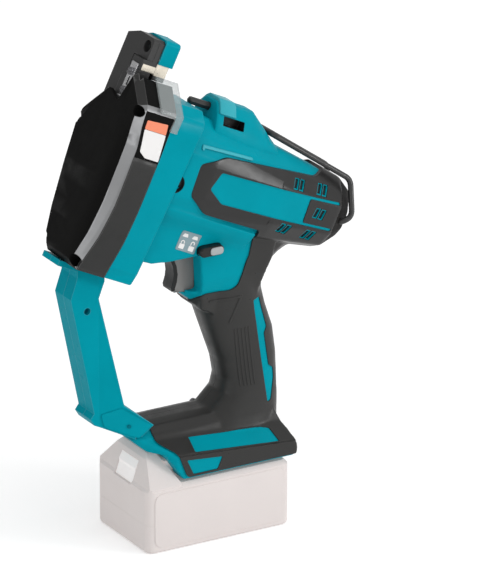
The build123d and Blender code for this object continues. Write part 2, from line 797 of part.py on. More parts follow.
def assembly():
    """Every node of the tool by name, in the working frame."""
    guard = hand_guard()
    parts = shells()
    parts.update({
        "front_cover": front_cover(), "cover_screws": cover_screws(),
        "gear_housing": gear_housing(), "clear_guard": clear_guard(),
        "die_frame": die_frame(), "frame_screws": frame_screws(), "guide_cap": guide_cap(),
        "fixed_die": fixed_die(), "moving_die": moving_die(), "ram": ram(),
        "cam_roller": cam_roller(), "roller_pin": roller_pin(), "keeper_strap": keeper_strap(),
        "strap_screws": strap_screws(), "motor_pinion": motor_pinion(),
        "cluster_gear": cluster_gear(), "cluster_shaft": cluster_shaft(),
        "cam_gear": cam_gear(), "cam_shaft": cam_shaft(), "stator": stator(), "rotor": rotor(),
        "fan": fan(), "motor_bearings": motor_bearings(), "lock_bar": lock_bar(),
        "trigger": trigger(), "switch_body": switch_body(), "hanging_hook": hook(),
        "housing_screws": housing_screws(),
        "top_bridge": top_bridge(), "hex_key": hex_key(),
        "left_guard": half(guard, 1), "right_guard": half(guard, -1),
        "control_board": control_board(), "terminal_block": terminal_block(),
        "terminal_blades": terminal_blades(), "pack_lower": pack_lower(),
        "pack_upper": pack_upper(), "pack_button": pack_button(), "pack_cells": pack_cells(),
    })
    return parts


def main():
    """Write every node to its STEP file."""
    os.makedirs("parts", exist_ok=True)
    for node, shape in assembly().items():
        export_step(Rot(0, 0, 180) * shape, f"parts/{node}.step")


if __name__ == "__main__":
    main()
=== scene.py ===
"""Looks of a cordless threaded rod cutter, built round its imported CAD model.

The finished pieces are in metres, in the frame of the CAD model: +Z up, the front of the tool towards
-X and its left side towards -Y. The classes hold their sizes in millimetres and their places as (along,
left, up), along to the front, and Axes turns these into that frame, upright or tilted with the barrel.
OUT is how far to each side, in millimetres, bodies that cut right through the tool reach.
"""
import json
import logging
import math
from dataclasses import dataclass, field
from enum import Enum
from typing import Callable

import bmesh
import bpy
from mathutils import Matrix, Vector

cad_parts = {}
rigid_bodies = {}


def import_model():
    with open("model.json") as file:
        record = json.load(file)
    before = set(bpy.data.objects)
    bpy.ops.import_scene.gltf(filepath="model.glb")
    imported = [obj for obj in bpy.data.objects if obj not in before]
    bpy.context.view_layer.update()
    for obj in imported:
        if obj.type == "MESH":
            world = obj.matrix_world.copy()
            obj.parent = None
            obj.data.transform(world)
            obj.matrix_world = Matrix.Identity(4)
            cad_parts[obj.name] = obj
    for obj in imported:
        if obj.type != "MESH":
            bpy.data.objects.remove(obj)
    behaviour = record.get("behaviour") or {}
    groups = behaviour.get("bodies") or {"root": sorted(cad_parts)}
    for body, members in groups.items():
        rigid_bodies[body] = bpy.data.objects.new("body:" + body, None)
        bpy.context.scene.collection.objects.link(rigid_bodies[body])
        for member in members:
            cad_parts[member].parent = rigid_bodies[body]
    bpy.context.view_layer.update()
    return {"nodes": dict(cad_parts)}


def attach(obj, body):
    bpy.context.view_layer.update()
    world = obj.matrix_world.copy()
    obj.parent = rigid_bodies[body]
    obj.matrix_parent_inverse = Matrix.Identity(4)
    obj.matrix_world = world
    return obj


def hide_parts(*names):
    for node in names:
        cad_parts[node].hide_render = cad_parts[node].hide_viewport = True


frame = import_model()
LOG = logging.getLogger("rod_cutter")
MM = 0.001
OUT = 60.0
Colour = tuple[float, float, float]
Place = tuple[float, float, float]
Pair = tuple[float, float]
Oblong = tuple[Pair, Pair]
Box = tuple[Pair, Pair, Pair]
Outline = list[Pair]
Section = tuple[float, Outline]
Cuts = tuple[tuple[Vector, Vector], ...]
Zone = Callable[[Vector, Vector], int]
Mesh, Body, Thing = bpy.types.Mesh, bmesh.types.BMesh, bpy.types.Object
Material, Tree, Node, Socket = bpy.types.Material, bpy.types.NodeTree, bpy.types.Node, bpy.types.NodeSocket


def rows(*values: object) -> list:
    """Default of a dataclass field that holds a list."""
    return field(default_factory=lambda: list(values))


def filled(node: Node, values: dict[str, object]) -> Node:
    """Set some inputs of a node.

    Args:
        node: the node.
        values: the inputs' values, by name.

    Returns:
        The node.
    """
    for name, value in values.items():
        node.inputs[name].default_value = value
    return node


class Axes(Enum):
    """The two ways in which places are given."""

    UPRIGHT = 0.0
    BARREL = 26.0

    def spot(self, along: float, left: float, up: float) -> Vector:
        """Place of a point in the frame.

        Args:
            along: millimetres to the front.
            left: millimetres to the tool's left.
            up: millimetres upwards, square to along.

        Returns:
            The point in metres.
        """
        turn = math.radians(self.value)
        x = along * math.cos(turn) - up * math.sin(turn)
        z = along * math.sin(turn) + up * math.cos(turn)
        return Vector((-x, -left, z)) * MM

    def reading(self, point: Vector) -> Vector:
        """A vector of the frame as (along, left, up), its length kept.

        Args:
            point: the vector in the frame.

        Returns:
            The same vector along these axes.
        """
        turn = math.radians(self.value)
        along = point.z * math.sin(turn) - point.x * math.cos(turn)
        up = point.z * math.cos(turn) + point.x * math.sin(turn)
        return Vector((along, -point.y, up))


UPRIGHT, BARREL = Axes.UPRIGHT, Axes.BARREL


class ShaderGroups:
    """Shader node groups that more than one finish uses."""

    @staticmethod
    def start(name: str, inputs: list[tuple[str, float]], outputs: list[str]) -> Tree:
        """New group with float sockets.

        Args:
            name: name of the group.
            inputs: names and defaults of the input sockets.
            outputs: names of the output sockets.

        Returns:
            The group's tree, with its input and output nodes in place.
        """
        tree = bpy.data.node_groups.new(name, "ShaderNodeTree")
        for label, value in inputs:
            tree.interface.new_socket(label, in_out="INPUT", socket_type="NodeSocketFloat").default_value = value
        for label in outputs:
            tree.interface.new_socket(label, in_out="OUTPUT", socket_type="NodeSocketFloat")
        tree.nodes.new("NodeGroupInput")
        tree.nodes.new("NodeGroupOutput")
        return tree

    @classmethod
    def moulded_grain(cls) -> Tree:
        """Fine eroded grain of a mould, with a broad mottle and handling marks.

        Returns:
            The new group.
        """
        tree = cls.start("moulded_grain", [("Scale", 1500.0), ("Broad Scale", 40.0)], ["Height", "Mottle", "Rub"])
        nodes, links = tree.nodes, tree.links
        source, sink = nodes["Group Input"], nodes["Group Output"]
        place = nodes.new("ShaderNodeTexCoord")
        fine = filled(nodes.new("ShaderNodeTexNoise"), {"Detail": 3.0})
        broad = filled(nodes.new("ShaderNodeTexNoise"), {"Detail": 4.0})
        rub = filled(nodes.new("ShaderNodeTexNoise"), {"Scale": 90.0, "Detail": 6.0, "Roughness": 0.7})
        links.new(source.outputs["Scale"], fine.inputs["Scale"])
        links.new(source.outputs["Broad Scale"], broad.inputs["Scale"])
        for noise, label in ((fine, "Height"), (broad, "Mottle"), (rub, "Rub")):
            links.new(place.outputs["Object"], noise.inputs["Vector"])
            links.new(noise.outputs["Fac"], sink.inputs[label])
        return tree

    @classmethod
    def ground_lines(cls) -> Tree:
        """Fine parallel lines of ground or brushed metal.

        Returns:
            The new group.
        """
        tree = cls.start("ground_lines", [("Scale", 900.0), ("Stretch", 0.06)], ["Height", "Mottle", "Rub"])
        nodes, links = tree.nodes, tree.links
        source, sink = nodes["Group Input"], nodes["Group Output"]
        place = nodes.new("ShaderNodeTexCoord")
        squeeze = filled(nodes.new("ShaderNodeCombineXYZ"), {"X": 1.0, "Z": 1.0})
        links.new(source.outputs["Stretch"], squeeze.inputs["Y"])
        drawn = nodes.new("ShaderNodeVectorMath")
        drawn.operation = "MULTIPLY"
        links.new(place.outputs["Object"], drawn.inputs[0])
        links.new(squeeze.outputs["Vector"], drawn.inputs[1])
        lines = filled(nodes.new("ShaderNodeTexNoise"), {"Detail": 2.0})
        links.new(drawn.outputs["Vector"], lines.inputs["Vector"])
        links.new(source.outputs["Scale"], lines.inputs["Scale"])
        broad = filled(nodes.new("ShaderNodeTexNoise"), {"Scale": 120.0})
        links.new(place.outputs["Object"], broad.inputs["Vector"])
        for noise, label in ((lines, "Height"), (broad, "Mottle"), (lines, "Rub")):
            links.new(noise.outputs["Fac"], sink.inputs[label])
        return tree

    @classmethod
    def edge_light_mask(cls) -> Tree:
        """Mask of the painted edge highlight, where a softened normal leaves the flat one.

        Returns:
            The new group.
        """
        tree = cls.start("edge_light_mask", [("Amount", 0.1)], ["Mask"])
        tree.interface.new_socket("Softened", in_out="INPUT", socket_type="NodeSocketVector")
        nodes, links = tree.nodes, tree.links
        source, sink = nodes["Group Input"], nodes["Group Output"]
        plain = nodes.new("ShaderNodeNewGeometry")
        along = nodes.new("ShaderNodeVectorMath")
        along.operation = "DOT_PRODUCT"
        links.new(plain.outputs["True Normal"], along.inputs[0])
        links.new(source.outputs["Softened"], along.inputs[1])
        mask = filled(nodes.new("ShaderNodeMapRange"), {"From Min": 0.995, "From Max": 0.93})
        links.new(source.outputs["Amount"], mask.inputs["To Max"])
        links.new(along.outputs["Value"], mask.inputs["Value"])
        links.new(mask.outputs["Result"], sink.inputs["Mask"])
        return tree

    @classmethod
    def placed(cls, tree: Tree, name: str, values: dict[str, object]) -> Node:
        """One of the groups as a node of a material, built at its first use.

        Args:
            tree: the material's nodes.
            name: name of the group.
            values: the inputs' values, by name.

        Returns:
            The group's node.
        """
        node = tree.nodes.new("ShaderNodeGroup")
        node.node_tree = bpy.data.node_groups.get(name) or getattr(cls, name)()
        return filled(node, values)


class Grain(Enum):
    """Which group gives a finish its fine detail."""

    MOULDED = "moulded_grain"
    GROUND = "ground_lines"


@dataclass(frozen=True)
class Finish:
    """A surface finish and its procedural material.

    Attributes:
        name: name of the material.
        colour: linear base colour.
        roughness: mean roughness.
        metallic: 1 for bare metal.
        grain: kind of fine detail.
        grain_scale: number of grains in a metre, roughly.
        grain_depth: depth of the grain in metres.
        mottle: share by which the colour drifts.
        rub: amount by which the roughness drifts.
        edge: radius to which sharp edges are softened, in metres.
        alpha: 1 for a solid surface.
        gloss: specular level, 0.5 for plain plastic.
        painted_edge_light: share by which edges are paler, a painted highlight.
        painted_edge_colour: linear colour of that painted edge highlight.
        glow: strength with which the surface lights itself.
    """

    name: str
    colour: Colour
    roughness: float
    metallic: float = 0.0
    grain: Grain = Grain.MOULDED
    grain_scale: float = 1600.0
    grain_depth: float = 0.00003
    mottle: float = 0.10
    rub: float = 0.12
    edge: float = 0.0006
    alpha: float = 1.0
    gloss: float = 0.5
    painted_edge_light: float = 0.0
    painted_edge_colour: Colour = (0.45, 0.85, 0.95)
    glow: float = 0.0

    def material(self) -> Material:
        """The finish's material, made at its first use.

        Returns:
            A node material with its own colour drift, roughness drift and grain.
        """
        name = f"{self.name}_finish"
        found = bpy.data.materials.get(name)
        if found:
            return found
        material = bpy.data.materials.new(name)
        material.use_nodes = True
        nodes, links = material.node_tree.nodes, material.node_tree.links
        shader = filled(nodes["Principled BSDF"], {
            "Metallic": self.metallic, "Alpha": self.alpha, "Specular IOR Level": self.gloss,
            "Emission Color": (*self.colour, 1), "Emission Strength": self.glow,
        })
        detail = ShaderGroups.placed(material.node_tree, self.grain.value, {"Scale": self.grain_scale})
        tint = nodes.new("ShaderNodeMix")
        tint.data_type = "RGBA"
        tint.inputs["A"].default_value = (*[c * (1 - self.mottle) for c in self.colour], 1)
        tint.inputs["B"].default_value = (*[min(1.0, c * (1 + self.mottle)) for c in self.colour], 1)
        links.new(detail.outputs["Mottle"], tint.inputs["Factor"])
        dull = filled(nodes.new("ShaderNodeMapRange"), {
            "From Min": 0.3, "From Max": 0.7,
            "To Min": max(0.05, self.roughness - self.rub), "To Max": min(1.0, self.roughness + self.rub),
        })
        links.new(detail.outputs["Rub"], dull.inputs["Value"])
        links.new(dull.outputs["Result"], shader.inputs["Roughness"])
        soft = filled(nodes.new("ShaderNodeBevel"), {"Radius": self.edge})
        soft.samples = 6
        bump = filled(nodes.new("ShaderNodeBump"), {"Strength": 0.6, "Distance": self.grain_depth})
        links.new(detail.outputs["Height"], bump.inputs["Height"])
        links.new(soft.outputs["Normal"], bump.inputs["Normal"])
        links.new(bump.outputs["Normal"], shader.inputs["Normal"])
        colour = tint.outputs["Result"]
        # Paler edges are a painted highlight.
        if self.painted_edge_light:
            colour = self.with_painted_edges(material.node_tree, colour, soft.outputs["Normal"])
        links.new(colour, shader.inputs["Base Color"])
        return material

    def with_painted_edges(self, tree: Tree, colour: Socket, softened: Socket) -> Socket:
        """Colour that is paler along edges, a painted highlight.

        Args:
            tree: the material's nodes.
            colour: the colour on flat areas.
            softened: the normal with softened edges.

        Returns:
            The socket of the new colour.
        """
        edges = ShaderGroups.placed(tree, "edge_light_mask", {"Amount": self.painted_edge_light})
        tree.links.new(softened, edges.inputs["Softened"])
        pale = tree.nodes.new("ShaderNodeMix")
        pale.data_type = "RGBA"
        pale.inputs["B"].default_value = (*self.painted_edge_colour, 1)
        tree.links.new(edges.outputs["Mask"], pale.inputs["Factor"])
        tree.links.new(colour, pale.inputs["A"])
        return pale.outputs["Result"]


TEAL = Finish("teal_shell", (0.0, 0.285, 0.36), 0.36, gloss=0.03)
# Paler teal: on the panel ridges a painted highlight along the panel's edge; also the clip's lighter tone.
TEAL_PALE = Finish("teal_pale", (0.03, 0.37, 0.44), 0.34, gloss=0.2)
TEAL_DEEP = Finish("teal_deep", (0.0, 0.16, 0.21), 0.40, gloss=0.05)
# The cast teal parts take a painted highlight along their edges.
TEAL_METAL = Finish("teal_casting", (0.0, 0.285, 0.36), 0.34, gloss=0.02, edge=0.0008, painted_edge_light=0.12)
RUBBER = Finish("black_rubber", (0.027, 0.0265, 0.0255), 0.38, grain_depth=0.00004, grain_scale=1200.0, gloss=0.25)
POD = Finish("black_pod", (0.011, 0.0108, 0.0106), 0.33, rub=0.04, grain_depth=0.00001, gloss=0.36)
DULL = Finish("dull_rubber", (0.016, 0.0155, 0.015), 0.62, gloss=0.04)
COVER = Finish("black_cover", (0.005, 0.005, 0.0048), 0.50, edge=0.001, gloss=0.05)
# Grey metallic copy of the black cover for its left bevel and rounded upper edge, so that they mirror the lamps
# brightly: a painted reflection.
COVER_LIT_RIM = Finish("black_cover_lit_rim", (0.25, 0.253, 0.258), 0.42, metallic=1.0, rub=0.05, edge=0.0004)
# Paler, glossier copy of the black cover for its nose bevels and raised step: a painted highlight.
COVER_LIT_SIDE = Finish(
    "black_cover_lit_side", (0.016, 0.016, 0.0155), 0.45, edge=0.0008, gloss=0.3, painted_edge_light=0.2, painted_edge_colour=(0.5, 0.5, 0.5),
)
BLACK_METAL = Finish("black_metal", (0.030, 0.030, 0.030), 0.40, metallic=0.3, edge=0.0008)
DIE = Finish("pale_steel", (0.70, 0.64, 0.54), 0.36, metallic=0.85, grain=Grain.GROUND)
STEEL = Finish("bright_steel", (0.62, 0.62, 0.63), 0.30, metallic=1.0, grain=Grain.GROUND)
SCREW = Finish("screw_steel", (0.20, 0.20, 0.21), 0.32, metallic=1.0, grain=Grain.GROUND)
IRON = Finish("motor_iron", (0.10, 0.10, 0.11), 0.55, metallic=0.8)
CLEAR = Finish("clear_sheet", (0.42, 0.46, 0.46), 0.12, alpha=0.36, mottle=0.02, rub=0.05, grain_depth=0.000005)
TRIGGER = Finish("grey_plastic", (0.165, 0.160, 0.155), 0.42)
BLACK = Finish("black_plastic", (0.008, 0.008, 0.008), 0.42, gloss=0.3)
# Case and key glow faintly, painted light that flattens their shading.
PACK = Finish("pack_case", (0.62, 0.57, 0.555), 0.45, mottle=0.03, glow=0.16)
PACK_KEY = Finish("pack_key", (0.84, 0.81, 0.80), 0.42, mottle=0.03, glow=0.22)
SLEEVE = Finish("cell_sleeve", (0.05, 0.15, 0.30), 0.30)
BRASS = Finish("contact_brass", (0.62, 0.42, 0.14), 0.28, metallic=1.0, grain=Grain.GROUND)
BOARD = Finish("board_green", (0.01, 0.09, 0.03), 0.40)
PALE = Finish("pale_plastic", (0.36, 0.38, 0.385), 0.40)
PLATE_GREY = Finish("grey_plate", (0.22, 0.31, 0.34), 0.42, mottle=0.04)
PLATE_WHITE = Finish("white_plate", (0.80, 0.79, 0.78), 0.40, mottle=0.03)
PLATE_ORANGE = Finish("orange_plate", (0.86, 0.25, 0.13), 0.40, mottle=0.03)


@dataclass(frozen=True)
class Lamp:
    """A square soft lamp that looks at the tool.

    Attributes:
        name: name of the lamp.
        place: its place in metres.
        size: side in metres.
        power: watts.
        aim: the point in metres at which it looks.
    """

    name: str
    place: Place
    size: float
    power: float
    aim: Place = (0.0, 0.0, 0.2)

    def build(self) -> None:
        """Hang the lamp."""
        data = bpy.data.lights.new(self.name, "AREA")
        data.energy, data.size = self.power, self.size
        lamp = bpy.data.objects.new(self.name, data)
        lamp.location = self.place
        way = Vector(self.aim) - Vector(self.place)
        lamp.rotation_mode = "QUATERNION"
        lamp.rotation_quaternion = way.to_track_quat("-Z", "Y")
        bpy.context.scene.collection.objects.link(lamp)


@dataclass
class Studio:
    """Camera, light and floor.

    Attributes:
        azimuth: degrees that the camera stands round from the left side, towards the rear if positive.
        elevation: degrees above the horizon.
        target: point in millimetres that lies in the middle of the picture.
        view_height: height of the picture at the target, in millimetres.
        lens: focal length on a sensor of 36 mm, long so that lines stay parallel.
        sensor: width of that sensor.
        daylight: strength of the even light from all round.
        bright_side: way to the side from which most of it comes.
        daylight_range: its share on the far side and on the bright side.
        floor_reach: metres that the floor goes to each side.
        floor_glow: what the floor adds to itself where it is seen or mirrored.
        lamps: the lamps.
    """

    azimuth: float = -30.0
    elevation: float = 22.0
    target: Place = (47.6, 0.0, 168.5)
    view_height: float = 422.3
    lens: float = 600.0
    sensor: float = 36.0
    daylight: float = 0.62
    bright_side: Place = (0.62, -0.40, 0.68)
    daylight_range: Pair = (0.45, 1.45)
    floor_reach: float = 6.0
    floor_glow: float = 0.3
    lamps: list[Lamp] = rows(
        Lamp("left_panel", (-1.63, -1.11, 0.58), 0.70, 5.4),
        Lamp("right_panel", (1.33, -1.41, 0.46), 0.42, 10.0),
        Lamp("top_panel", (0.1, -0.5, 1.9), 1.0, 4.0),
    )

    def camera(self) -> None:
        """Stand the camera at the picture's viewing angle."""
        turn, rise = math.radians(self.azimuth), math.radians(self.elevation)
        back = Vector((math.sin(turn) * math.cos(rise), -math.cos(turn) * math.cos(rise), math.sin(rise)))
        data = bpy.data.cameras.new("camera")
        data.lens, data.sensor_width = self.lens, self.sensor
        distance = self.view_height * MM * self.lens / self.sensor
        data.clip_start, data.clip_end = 0.1, 100.0
        camera = bpy.data.objects.new("camera", data)
        camera.location = Vector(self.target) * MM + back * distance
        camera.rotation_mode = "QUATERNION"
        camera.rotation_quaternion = (-back).to_track_quat("-Z", "Y")
        bpy.context.scene.collection.objects.link(camera)
        bpy.context.scene.camera = camera

    def world(self) -> None:
        """Pale surroundings, brighter above and to the right of the camera."""
        world = bpy.data.worlds.new("studio")
        world.use_nodes = True
        nodes, links = world.node_tree.nodes, world.node_tree.links
        backdrop = filled(nodes["Background"], {"Color": (1, 1, 1, 1)})
        place = nodes.new("ShaderNodeTexCoord")
        facing = nodes.new("ShaderNodeVectorMath")
        facing.operation = "DOT_PRODUCT"
        facing.inputs[1].default_value = Vector(self.bright_side).normalized()
        links.new(place.outputs["Generated"], facing.inputs[0])
        dim, bright = [self.daylight * share for share in self.daylight_range]
        level = filled(nodes.new("ShaderNodeMapRange"), {"From Min": -1.0, "To Min": dim, "To Max": bright})
        links.new(facing.outputs["Value"], level.inputs["Value"])
        links.new(level.outputs["Result"], backdrop.inputs["Strength"])
        bpy.context.scene.world = world

    def floor(self) -> None:
        """Wide pale floor that keeps the tool's shadow."""
        mesh = bpy.data.meshes.new("floor")
        far = self.floor_reach
        mesh.from_pydata([(-far, -far, 0), (far, -far, 0), (far, far, 0), (-far, far, 0)], [], [(0, 1, 2, 3)])
        floor = bpy.data.objects.new("floor", mesh)
        material = bpy.data.materials.new("floor")
        material.use_nodes = True
        nodes, links = material.node_tree.nodes, material.node_tree.links
        shader = filled(nodes["Principled BSDF"], {
            "Base Color": (0.9, 0.9, 0.9, 1), "Roughness": 0.9, "Specular IOR Level": 0.0,
            "Emission Color": (1, 1, 1, 1),
        })
        path = nodes.new("ShaderNodeLightPath")
        shown = path.outputs["Is Camera Ray"]
        for kind in ("Is Glossy Ray", "Is Transmission Ray"):
            either = nodes.new("ShaderNodeMath")
            either.operation = "MAXIMUM"
            links.new(shown, either.inputs[0])
            links.new(path.outputs[kind], either.inputs[1])
            shown = either.outputs["Value"]
        glow = filled(nodes.new("ShaderNodeMapRange"), {"To Max": self.floor_glow})
        links.new(shown, glow.inputs["Value"])
        links.new(glow.outputs["Result"], shader.inputs["Emission Strength"])
        mesh.materials.append(material)
        bpy.context.scene.collection.objects.link(floor)

    def build(self) -> None:
        """Set up the whole studio."""
        bpy.context.scene.view_settings.view_transform = "Standard"
        self.camera()
        self.world()
        self.floor()
        for lamp in self.lamps:
            lamp.build()


class Keep(Enum):
    """What is left when one closed mesh meets another."""

    REST = "DIFFERENCE"
    SHARED = "INTERSECT"
    BOTH = "UNION"


class Mesher:
    """Mesh work that the sub-assemblies share; all sizes it takes are in millimetres."""

    @staticmethod
    def mirrored(half: Outline) -> Outline:
        """Whole ring from its left half, whose points are (left, up)."""
        return half + [(-left, up) for left, up in reversed(half)]

    @staticmethod
    def oblong(along: Pair, up: Pair) -> Outline:
        """Corners of an oblong, from its lower rear one round to the front."""
        return [(along[0], up[0]), (along[1], up[0]), (along[1], up[1]), (along[0], up[1])]

    @staticmethod
    def circle(middle: Pair, radius: float, count: int = 24) -> Outline:
        """Round outline about a middle."""
        turns = [2 * math.pi * step / count for step in range(count)]
        return [(middle[0] + radius * math.cos(t), middle[1] + radius * math.sin(t)) for t in turns]

    @staticmethod
    def between(table: Outline, place: float) -> float:
        """Value of a table at a place, by straight lines between its rows.

        Args:
            table: places, in rising order, and the values there.
            place: the place.

        Returns:
            The value, which stays the same beyond the table's ends.
        """
        place = min(max(place, table[0][0]), table[-1][0])
        for (low, first), (high, second) in zip(table, table[1:]):
            if place <= high:
                return first + (second - first) * (place - low) / (high - low)
        return table[-1][1]

    @staticmethod
    def curve(corners: tuple[Vector, Vector, Vector], radius: float, steps: int, most: float = 0.45) -> list[Vector]:
        """Short curve in place of the middle one of three corners.

        Args:
            corners: the corners.
            radius: distance from the middle corner at which the curve starts.
            steps: points on the curve, less one.
            most: share of a side that the curve may take up.

        Returns:
            The points of the curve.
        """
        before, corner, after = corners
        start, end = [corner + way * min(radius / way.length, most) for way in (before - corner, after - corner)]
        shares = [step / steps for step in range(steps + 1)]
        return [start.lerp(corner, share).lerp(corner.lerp(end, share), share) for share in shares]

    @classmethod
    def rounded(cls, outline: Outline, radius: float, steps: int = 4) -> Outline:
        """Outline whose corners are turned into short curves.

        Args:
            outline: the corners.
            radius: distance from a corner at which its curve starts.
            steps: points on each curve, less one.

        Returns:
            The finer outline.
        """
        path = [Vector(corner) for corner in outline]
        threes = zip(path[-1:] + path[:-1], path, path[1:] + path[:1])
        return [(point.x, point.y) for three in threes for point in cls.curve(three, radius, steps)]

    @staticmethod
    def drawn_in(outline: Outline, inset: float) -> Outline:
        """Outline with every side moved inwards.

        Args:
            outline: the corners.
            inset: distance by which the sides move.

        Returns:
            The smaller outline.
        """
        pairs = list(zip(outline, outline[1:] + outline[:1]))
        area = sum(a[0] * b[1] - b[0] * a[1] for a, b in pairs)
        sides = []
        for a, b in pairs:
            way = (Vector(b) - Vector(a)).normalized()
            inward = Vector((-way.y, way.x)) * math.copysign(inset, area)
            sides.append((Vector(a) + inward, way))
        corners = []
        for (one, way), (two, turn) in zip(sides[-1:] + sides[:-1], sides):
            cross = way.x * turn.y - way.y * turn.x
            gap = two - one
            run = (gap.x * turn.y - gap.y * turn.x) / cross if abs(cross) > 1e-6 else gap.dot(way)
            corners.append(tuple(one + way * run))
        return corners

    @staticmethod
    def loft(rings: list[list[Vector]]) -> Body:
        """Closed body through rings of equal length.

        Args:
            rings: corner points of each section, all turning the same way, in metres.

        Returns:
            The body with both ends closed and its faces pointing outwards.
        """
        body = bmesh.new()
        loops = [[body.verts.new(point) for point in ring] for ring in rings]
        for low, high in zip(loops, loops[1:]):
            for index, corner in enumerate(low):
                after = (index + 1) % len(low)
                body.faces.new((corner, low[after], high[after], high[index]))
        body.faces.new(loops[0])
        body.faces.new(loops[-1])
        bmesh.ops.triangulate(body, faces=[face for face in body.faces if len(face.verts) > 4])
        bmesh.ops.recalc_face_normals(body, faces=body.faces)
        return body

    @classmethod
    def sections(cls, axes: Axes, stations: list[Section]) -> Body:
        """Closed body through cross sections, each given by its place along and its (left, up) corners."""
        return cls.loft([[axes.spot(along, *corner) for corner in ring] for along, ring in stations])

    @classmethod
    def storey(cls, axes: Axes, plan: Outline, up: Pair) -> Body:
        """Plan of (along, left) corners drawn out between two heights."""
        return cls.loft([[axes.spot(*corner, height) for corner in plan] for height in up])

    @classmethod
    def prism(cls, axes: Axes, outline: Outline, right: float, left: float) -> Body:
        """Side-view outline drawn out across the tool.

        Args:
            axes: way in which the outline is given.
            outline: (along, up) corners.
            right: where the prism starts, counted to the left.
            left: where it ends.

        Returns:
            The closed prism.
        """
        return cls.loft([[axes.spot(a, side, b) for a, b in outline] for side in (right, left)])

    @classmethod
    def block(cls, axes: Axes, along: Pair, left: Pair, up: Pair) -> Body:
        """Plain block between three pairs of faces."""
        return cls.prism(axes, cls.oblong(along, up), *left)

    @classmethod
    def on_both(cls, axes: Axes, outline: Outline, near: float, far: float) -> list[Body]:
        """The same prism on the left and on the right, between two distances from the middle plane."""
        return [cls.prism(axes, outline, near, far), cls.prism(axes, outline, -far, -near)]

    @classmethod
    def bent(cls, path: list[Vector], radius: float, steps: int = 6) -> list[Vector]:
        """Open path whose inner corners are turned into curves.

        Args:
            path: the corners, in metres.
            radius: distance from a corner at which its curve starts.
            steps: points on each curve, less one.

        Returns:
            The finer path.
        """
        fine = [path[0]]
        for three in zip(path, path[1:], path[2:]):
            fine += cls.curve(three, radius * MM, steps)
        return fine + [path[-1]]

    @classmethod
    def tube(cls, path: list[Vector], radius: float, count: int = 12) -> Body:
        """Round wire along a path.

        Args:
            path: middle line, in metres.
            radius: radius of the wire.
            count: corners of its section.

        Returns:
            The closed wire.
        """
        ways = [(b - a).normalized() for a, b in zip(path[:1] + path[:-1], path[1:] + path[-1:])]
        side = ways[0].orthogonal().normalized()
        rings = []
        for before, way, point in zip(ways[:1] + ways[:-1], ways, path):
            side = before.rotation_difference(way) @ side
            other = way.cross(side)
            rings.append([point + (side * a + other * b) * radius * MM for a, b in cls.circle((0, 0), 1, count)])
        return cls.loft(rings)

    @staticmethod
    def opened(*meshes: Mesh) -> Body:
        """Working copy of one or more meshes.

        Args:
            meshes: the meshes, which are left as they are.

        Returns:
            The copy, which holds them all.
        """
        body = bmesh.new()
        for mesh in meshes:
            body.from_mesh(mesh)
        return body

    @staticmethod
    def closed(body: Body) -> Mesh:
        """Plain mesh of a working copy.

        Args:
            body: the working copy, which is used up.

        Returns:
            The mesh.
        """
        mesh = bpy.data.meshes.new("mesh")
        body.to_mesh(mesh)
        body.free()
        return mesh

    @classmethod
    def joined(cls, *bodies: Body) -> Mesh:
        """One mesh that holds several bodies.

        Args:
            bodies: the bodies, which are used up.

        Returns:
            The mesh.
        """
        parts = [cls.closed(body) for body in bodies]
        whole = cls.gathered(*parts)
        for part in parts:
            bpy.data.meshes.remove(part)
        return whole

    @staticmethod
    def applied(mesh: Mesh, *steps: tuple[str, dict[str, object]]) -> Mesh:
        """The mesh after a row of modifiers.

        Args:
            mesh: the mesh to start from, which is left as it is.
            steps: kind and settings of each modifier.

        Returns:
            The finished mesh.
        """
        carrier = bpy.data.objects.new("carrier", mesh)
        bpy.context.scene.collection.objects.link(carrier)
        for kind, settings in steps:
            modifier = carrier.modifiers.new(kind.lower(), kind)
            for key, value in settings.items():
                setattr(modifier, key, value)
        graph = bpy.context.evaluated_depsgraph_get()
        done = bpy.data.meshes.new_from_object(carrier.evaluated_get(graph))
        bpy.data.objects.remove(carrier)
        return done

    @classmethod
    def softened(cls, mesh: Mesh, width: float, segments: int = 2) -> Mesh:
        """The mesh with its sharp edges rounded off."""
        return cls.applied(mesh, ("BEVEL", {"width": width * MM, "segments": segments, "limit_method": "ANGLE"}))

    @classmethod
    def cut(cls, mesh: Mesh, tool: Mesh, keep: Keep = Keep.REST) -> Mesh:
        """The mesh less a cutting body, or what both have in common, or both in one.

        Args:
            mesh: the mesh that is cut, which is left as it is.
            tool: closed cutting body, which is left as it is.
            keep: what is left.

        Returns:
            The cut mesh.
        """
        body = bpy.data.objects.new("cutter", tool)
        bpy.context.scene.collection.objects.link(body)
        settings = {"object": body, "operation": keep.value, "solver": "MANIFOLD"}
        done = cls.applied(mesh, ("BOOLEAN", settings))
        bpy.data.objects.remove(body)
        return done

    @classmethod
    def gathered(cls, *meshes: Mesh) -> Mesh:
        """One mesh that holds copies of several meshes."""
        return cls.closed(cls.opened(*meshes))

    @classmethod
    def level(cls, skin: Mesh, region: Mesh, height: float) -> Mesh:
        """What a region holds of a skin that is moved out or in.

        Args:
            skin: the closed skin.
            region: closed body that marks the region.
            height: distance outwards, below 0 for inwards.

        Returns:
            The solid part of the moved skin within the region.
        """
        moved = cls.applied(skin, ("DISPLACE", {"strength": height * MM, "mid_level": 0.0}))
        return cls.cut(moved, region, Keep.SHARED)

